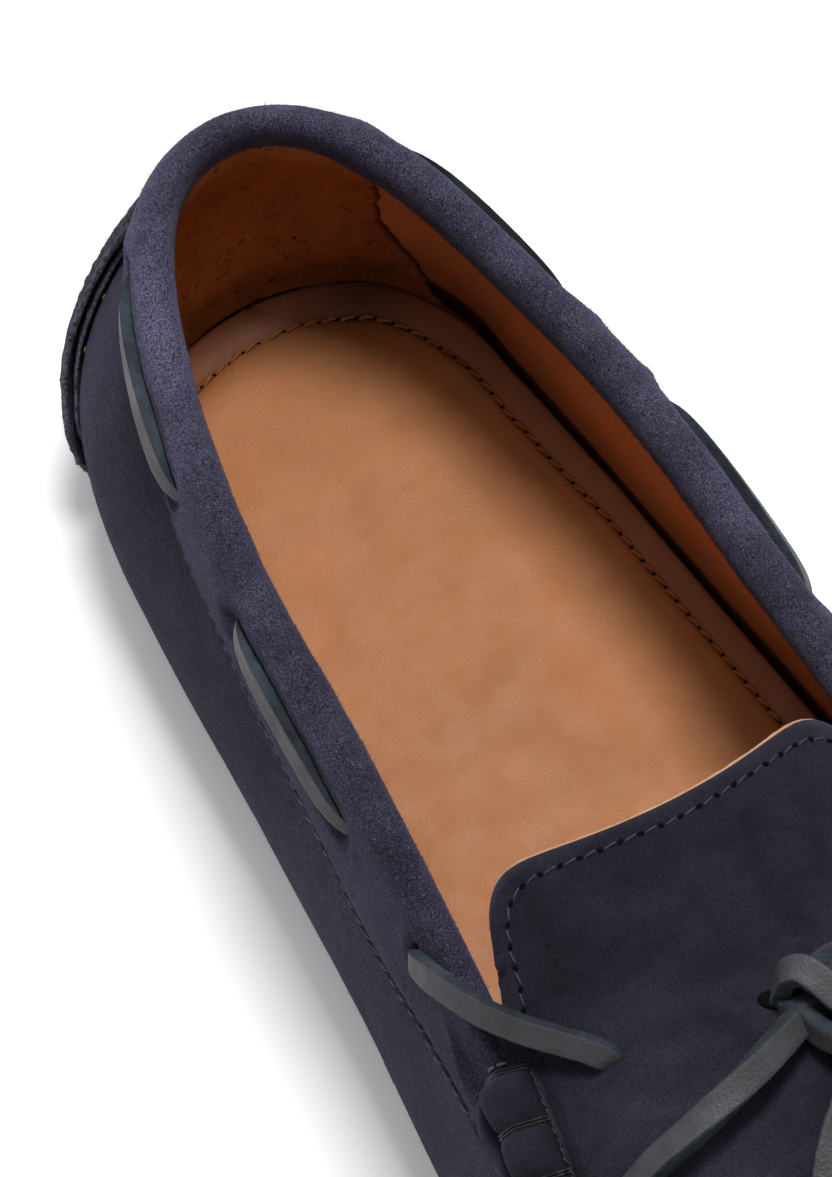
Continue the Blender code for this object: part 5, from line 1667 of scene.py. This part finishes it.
def build_crossings():
    for name, sign in (("lace_cross_medial", 1.0), ("lace_cross_lateral", -1.0)):
        rows = resample(CROSS, count=64)
        path = rows[:, :3] * [1.0, sign, 1.0]
        up = rows[:, 3:] * [1.0, sign, 1.0]
        s = np.linspace(0, 1, 64)
        wide = 3.55 * np.sqrt(np.clip(1 - (1 - (s - 0.055) / 0.20).clip(0, 1) ** 2, 0.06, 1)) \
            * np.sqrt(np.clip(1 - ((s - 0.95) / 0.05).clip(0, 1) ** 2 * 0.75, 0.10, 1))
        thick = 1.2 + 0.65 * smooth(0.0, 0.13, s) - 0.3 * smooth(0.88, 1.0, s)
        obj = lace("visible_" + name[5:], path, up, wide, thick)
        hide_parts(name)


END_MEDIAL = (
    (163.2, 3.4, 1.7), (163.9, 0.9, 2.3), (165.6, -3.6, 3.1), (167.6, -9.9, 3.4),
    (169.0, -16.9, 3.2), (170.0, -23.6, 3.0), (172.2, -30.0, 3.2), (176.0, -35.8, 3.6),
    (180.4, -40.0, 3.4), (184.4, -43.2, 2.6),
)
END_FRONT = (
    (171.6, 3.6, 1.8), (174.8, 0.4, 2.4), (178.6, -3.4, 2.4), (184.0, -7.4, 2.2),
    (191.0, -11.2, 2.0), (199.0, -14.4, 1.9), (207.0, -16.6, 1.8), (215.0, -18.0, 1.8),
    (222.0, -18.8, 1.8),
)
KNOT = np.array([165.0, 7.4])


def over_upper(table, count):
    path, up = [], []
    for x, y, over in table:
        z, n = cover(x, y)
        path.append(np.array([x, y, z]) + n * over)
        up.append(n)
    rows = resample(np.hstack([np.array(path), np.array(up)]), count=count)
    return rows[:, :3], unit(rows[:, 3:])


def build_ends():
    made = []
    for node, table, turns in (
            ("lace_end_medial", END_MEDIAL, ((0.0, 34.0), (0.12, 26.0), (0.22, 0.0),
                                             (0.32, -34.0), (0.6, -36.0), (1.0, -14.0))),
            ("lace_end_front", END_FRONT, ((0.0, 10.0), (0.3, -10.0), (0.7, 6.0), (1.0, 0.0)))):
        path, up = over_upper(table, 110)
        s = np.linspace(0, 1, 110)
        roll = np.radians(np.interp(s, *zip(*turns)))
        roll = smooth_line(roll, 60)
        wide = 4.0 - 0.25 * smooth(0.10, 0.0, s)
        thick = 2.2 + 0.0 * s
        obj = lace("visible_" + node[5:], path, up, wide, thick, roll=roll)
        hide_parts(node)
        made.append((obj, path))
    return made


def build_knot():
    ground = cover(*KNOT)[0]
    middle = np.array([KNOT[0], KNOT[1], ground + 3.6])
    wraps = (
        # over the first end, from the hole in the apron on the medial side
        ((160.9, -0.9, 0.6), (160.3, 0.2, 2.9), (160.1, 1.1, 5.0), (160.9, 2.4, 6.3),
         (163.0, 3.6, 6.9), (166.0, 4.8, 6.7), (169.4, 7.2, 6.0), (171.4, 10.2, 3.8),
         (171.0, 12.2, 1.2)),
        # across the top of the knot, from front medial to rear lateral
        ((172.8, 2.4, 1.4), (171.6, 3.6, 3.4), (169.6, 6.0, 6.6), (166.4, 9.4, 8.3),
         (163.2, 12.6, 7.0), (161.0, 14.6, 4.2), (160.2, 15.6, 1.0), (160.4, 16.0, -1.2)),
        # low turn behind
        ((160.6, 2.4, 1.6), (159.4, 6.0, 2.8), (159.8, 10.0, 3.4), (162.6, 13.0, 3.2),
         (166.4, 14.2, 2.6), (170.2, 12.8, 1.8)),
        # low turn in front
        ((161.8, -0.4, 1.4), (165.0, 0.6, 2.6), (168.6, 1.8, 3.4), (171.6, 5.0, 3.6),
         (172.4, 8.6, 2.8), (171.0, 12.0, 1.6)),
    )
    pieces = []
    for k, table in enumerate(wraps):
        rows = resample(np.array(table), count=54)
        base = np.array([cover(x, y)[0] for x, y, _ in rows])
        path = np.column_stack([rows[:, 0], rows[:, 1], base * 0.35 + ground * 0.65 + rows[:, 2]])
        up = unit((path - middle) * np.array([0.55, 0.55, 1.0]) + np.array([0, 0, 1.4]))
        s = np.linspace(0, 1, len(path))
        wide = 3.9 - 1.3 * smooth(0.12, 0.0, s) - 1.3 * smooth(0.88, 1.0, s)
        obj = lace("knot_turn_%d" % (k + 1), path, up, wide, 2.1)
        pieces.append(obj)
    s = Soup()
    u, v = np.linspace(0, 2 * math.pi, 28, endpoint=False), np.linspace(0.03, math.pi - 0.03, 16)
    rows = np.array([[middle + (5.0 * math.sin(b) * math.cos(a), 4.2 * math.sin(b) * math.sin(a),
                                2.7 * math.cos(b)) for a in u] for b in v])
    rows += 0.15 * noise3(rows, 0.8, 91)[..., None]
    s.grid(rows, closed_u=True, cap=True)
    core = s.build("knot_core", LACE_EDGE, "lace_leather")
    pieces.append(core)
    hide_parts("lace_knot")
    return pieces


def build_holes():
    """Near-black discs: painted shade in the openings where the lace goes through the leather."""
    s = Soup()
    spots = []
    for x, y, a, b, turn in ((160.9, -1.1, 2.2, 1.25, 60.0), (160.4, 15.6, 2.0, 1.2, 80.0),
                             ):
        z, n = cover(x, y)
        t = math.radians(turn)
        e1 = unit(np.cross(np.array([-math.sin(t), math.cos(t), 0.0]), n))
        e2 = np.cross(n, e1)
        ang = np.linspace(0, 2 * math.pi, 28, endpoint=False)
        rows = []
        for r, h in ((0.05, 0.34), (0.6, 0.32), (0.9, 0.24), (1.0, 0.0), (1.02, -0.6)):
            rows.append(np.array([x, y, z]) + n * h + e1 * (np.cos(ang) * a * r)[:, None]
                        + e2 * (np.sin(ang) * b * r)[:, None])
        s.grid(np.array(rows), closed_u=True, cap=True)
    s.build("lace_opening_shade", HOLE, "suede")
    s = Soup()
    for x, which, drop in LAST_HOLES:
        phi = float(top_angle(x, which))
        p = off_wall(phi, drop, 1.55)[0]
        n = wall_normal(phi, v_at_drops(phi, drop)).reshape(3)
        e1 = unit(np.cross(np.array([0.0, 0.0, 1.0]), n))
        e2 = np.cross(n, e1)
        ang = np.linspace(0, 2 * math.pi, 24, endpoint=False)
        rows = []
        for r, h in ((0.05, 0.30), (0.6, 0.26), (0.9, 0.12), (1.0, -0.3), (1.02, -0.8)):
            rows.append(p + n * h + e1 * (np.cos(ang) * 1.5 * r)[:, None]
                        + e2 * (np.sin(ang) * 1.3 * r)[:, None])
        s.grid(np.array(rows), closed_u=True, cap=True)
    s.build("collar_opening_shade", HOLE, "suede")


# ------------------------------------------------------------------- the sole
SOLE_TOP_Z, SOLE_BOTTOM, ARCH_RISE = 5.2, 1.8, 1.6
STUD_RADIUS, STUD_PITCH = 4.0, 13.2


def arch(x):
    s = np.clip((np.asarray(x, float) - 82.0) / 74.0, 0.0, 1.0)
    return ARCH_RISE * np.sin(math.pi * s) ** 2


def sole_under(x):
    heel = np.maximum(0.0, (26.0 - np.asarray(x, float)) / 22.0)
    return SOLE_BOTTOM + arch(x) + lift(x) + 1.0 * heel * heel


def stud_places():
    places = []
    x, row = 22.0, 0
    while x < 272.0:
        phi = float(angle_of((x - BULGE_START) / (BULGE_END - BULGE_START)))
        reach_out = float(ring(phi, TUCK(phi) - 0.8)[1]) - STUD_RADIUS - 3.0
        reach_in = float(ring(2 * math.pi - phi, TUCK(phi) - 0.8)[1]) + STUD_RADIUS + 3.0
        if not 92.0 < x < 146.0 and reach_out - reach_in > STUD_PITCH:
            span = reach_out - reach_in
            count = max(2, int(span // STUD_PITCH) + (row % 2))
            places += [(x, reach_in + span * i / (count - 1)) for i in range(count)]
        x += STUD_PITCH
        row += 1
    return places


def build_sole():
    s = Soup()
    phis = np.concatenate([[0.004], even_angles(0.02, math.pi - 0.02, 2.2, bulge),
                           [math.pi - 0.004]])
    share = np.concatenate([[0, 0.01, 0.03], np.linspace(0.07, 0.93, 24), [0.97, 0.99, 1]])
    for level in ("top", "bottom"):
        rows = []
        for phi in phis:
            line = []
            for q in share:
                inset = float(TUCK(phi)) - 0.8
                a, b = ring(phi, inset), ring(2 * math.pi - phi, inset)
                p = a * (1 - q) + b * q
                d = min(q, 1 - q) * float(np.linalg.norm(a - b))
                d = min(d, max(p[0] - bulge(0.0)[0] - 7.0, 0.0) + 0.2,
                        max(bulge(math.pi)[0] - 7.0 - p[0], 0.0) + 0.2)
                if level == "top":
                    p[2] = SOLE_TOP_Z + float(lift(p[0]))
                else:
                    tread = 0.16 * max(0.0, math.sin(p[0] * 1.6)) * float(smooth(5.0, 7.0, d))
                    edge = 1.0 * float(smooth(1.4, 0.0, d))
                    p[2] = float(sole_under(p[0])) + edge + tread
                line.append(p)
            rows.append(line)
        rows = np.array(rows)
        if level == "top":
            upper_rows = rows
        else:
            lower_rows = rows
    both = np.concatenate([upper_rows, lower_rows[:, ::-1]], axis=1)
    s.grid(both, closed_u=True, cap=True)
    obj = s.build("sole_plate", RUBBER, "rubber")
    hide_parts("outsole")
    s = Soup()
    ang = np.linspace(0, 2 * math.pi, 28, endpoint=False)
    for x, y in stud_places():
        rows = []
        high = float(sole_under(x)) + 0.9
        for r, z in ((0.02, 0.32), (0.30, 0.32), (0.40, 0.0), (0.82, 0.0), (0.93, 0.10),
                     (1.0, 0.40), (1.04, 1.2), (1.10, None)):
            xs = x + np.cos(ang) * STUD_RADIUS * 0.95 * r
            ys = y + np.sin(ang) * STUD_RADIUS * 0.95 * r
            zs = lift(xs) + (z if z is not None else high - float(lift(x)))
            rows.append(np.stack([xs, ys, zs], 1))
        s.grid(np.array(rows), closed_u=True, cap=True)
    s.build("sole_studs", RUBBER, "rubber")


# ------------------------------------------------------------ loose suede fibres
def build_fibres():
    rng = np.random.default_rng(5)
    s = Soup()

    def sow(p, n, count, long_, thick):
        pick = rng.integers(0, len(p), count)
        d = unit(n[pick] + rng.normal(0, 0.70, (count, 3)))
        a = unit(np.cross(d, rng.normal(0, 1, (count, 3))))
        b = np.cross(d, a)
        size = (long_ * (0.35 + 0.95 * rng.random(count) ** 1.6))[:, None]
        base = p[pick] + rng.normal(0, 0.45, (count, 3)) * (1 - np.abs(n[pick]) * 0.9)
        w = (thick * (0.7 + 0.6 * rng.random(count)))[:, None]
        verts = [base - d * 0.25 + (a * math.cos(t) + b * math.sin(t)) * w
                 for t in (0.0, 2.1, 4.2)]
        verts.append(base + d * size + rng.normal(0, 0.25, (count, 3)) * size)
        k = 4 * np.arange(count)
        faces = np.concatenate([np.stack([k + i, k + j, k + 3], 1)
                                for i, j in ((0, 1), (1, 2), (2, 0))])
        s.add(np.stack(verts, 1).reshape(-1, 3), faces.tolist())

    deps = bpy.context.evaluated_depsgraph_get()
    for name, count, long_, thick in (("collar_casing", 26000, 0.42, 0.030),
                                      ("upper_skin", 22000, 0.42, 0.030),
                                      ("heel_patch_outer", 5000, 0.55, 0.035),
                                      ("heel_patch_inner", 4000, 0.55, 0.035)):
        mesh = bpy.data.objects[name].data
        p = np.zeros(len(mesh.vertices) * 3)
        n = np.zeros(len(mesh.vertices) * 3)
        mesh.vertices.foreach_get("co", p)
        mesh.vertices.foreach_get("normal", n)
        p = p.reshape(-1, 3) / MM + ORIGIN
        n = n.reshape(-1, 3)
        keep = p[:, 2] > 9.0
        if name == "upper_skin":
            keep &= p[:, 2] > 12.0
        sow(p[keep], n[keep], count, long_, thick)
    s.build("suede_fibres", SUEDE, "suede", recalc=False)


# ------------------------------------------------------------ stage and finish
def build_stage():
    mesh = bpy.data.meshes.new("floor")
    r = 3.0
    mesh.from_pydata([(-r, -r, 0), (r, -r, 0), (r, r, 0), (-r, r, 0)], [], [(0, 1, 2, 3)])
    floor = bpy.data.objects.new("floor", mesh)
    bpy.context.scene.collection.objects.link(floor)
    floor.location.z = -0.0002
    n = Nodes("floor_paper")
    level = n.ramp(n.noise(60.0, 4.0), 0.3, 0.7, 0.985, 1.0)
    n.out(n.mix(1.0, (0.93, 0.925, 0.945), n.grey(level), "MULTIPLY"), 0.9, Specular_IOR_Level=0.1,
          Emission_Color=(1.0, 0.98, 1.0), Emission_Strength=0.19)
    mesh.materials.append(n.material)

    def area(name, place, target, size, power, colour=(1, 1, 1)):
        light = bpy.data.lights.new(name, "AREA")
        light.shape = "DISK"
        light.size = size
        light.energy = power
        light.color = colour
        obj = bpy.data.objects.new(name, light)
        obj.location = place
        obj.rotation_euler = (Vector(target) - Vector(place)).to_track_quat("-Z", "Y").to_euler()
        bpy.context.scene.collection.objects.link(obj)

    area("key", (-0.32, 0.255, 1.55), (0, 0, 0.03), 0.46, KEY_POWER)
    area("overhead", (-0.35, 0.35, 1.35), (0, 0, 0.03), 1.7, TOP_POWER)
    world_ = bpy.data.worlds.new("studio")
    world_.use_nodes = True
    back = world_.node_tree.nodes["Background"]
    back.inputs["Color"].default_value = (1.0, 0.99, 1.0, 1.0)
    back.inputs["Strength"].default_value = WORLD_POWER
    bpy.context.scene.world = world_
    bpy.context.scene.view_settings.view_transform = "Standard"
    bpy.context.scene.view_settings.look = "None"


KEY_POWER, TOP_POWER, WORLD_POWER = 18.5, 6.5, 0.24


def build_camera():
    data = bpy.data.cameras.new("camera")
    data.lens, data.sensor_width, data.sensor_fit = 229.4, 36.0, "AUTO"
    data.clip_start, data.clip_end = 0.05, 20.0
    right = Vector((0.47513369, 0.87877078, -0.04483181))
    up = Vector((-0.76666516, 0.43844861, 0.46902809))
    ahead = Vector((-0.43182463, 0.18848006, -0.88204465))
    cam = bpy.data.objects.new("camera", data)
    cam.matrix_world = Matrix.Translation((0.35294089, -0.19252017, 0.89863757)) @ Matrix(
        (right, up, -ahead)).transposed().to_4x4()
    bpy.context.scene.collection.objects.link(cam)
    bpy.context.scene.camera = cam


def declare_cords(ends, knot):
    """Turns each of the lace's two free ends into metres and lists the knot's pieces; nothing is
    kept.
    """
    for (obj, path), extra in zip(ends, (knot, [])):
        line = world(path)
        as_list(extra)


build_camera()
ends = build_ends()
knot = build_knot()
declare_cords(ends, knot)
build_upper()
build_band()
build_band_stitches()
build_patch()
build_counter()
build_lining_thread()
build_insole()
build_tongue_details()
build_roll()
build_bars()
build_crossings()
build_holes()
build_sole()
build_fibres()
build_stage()
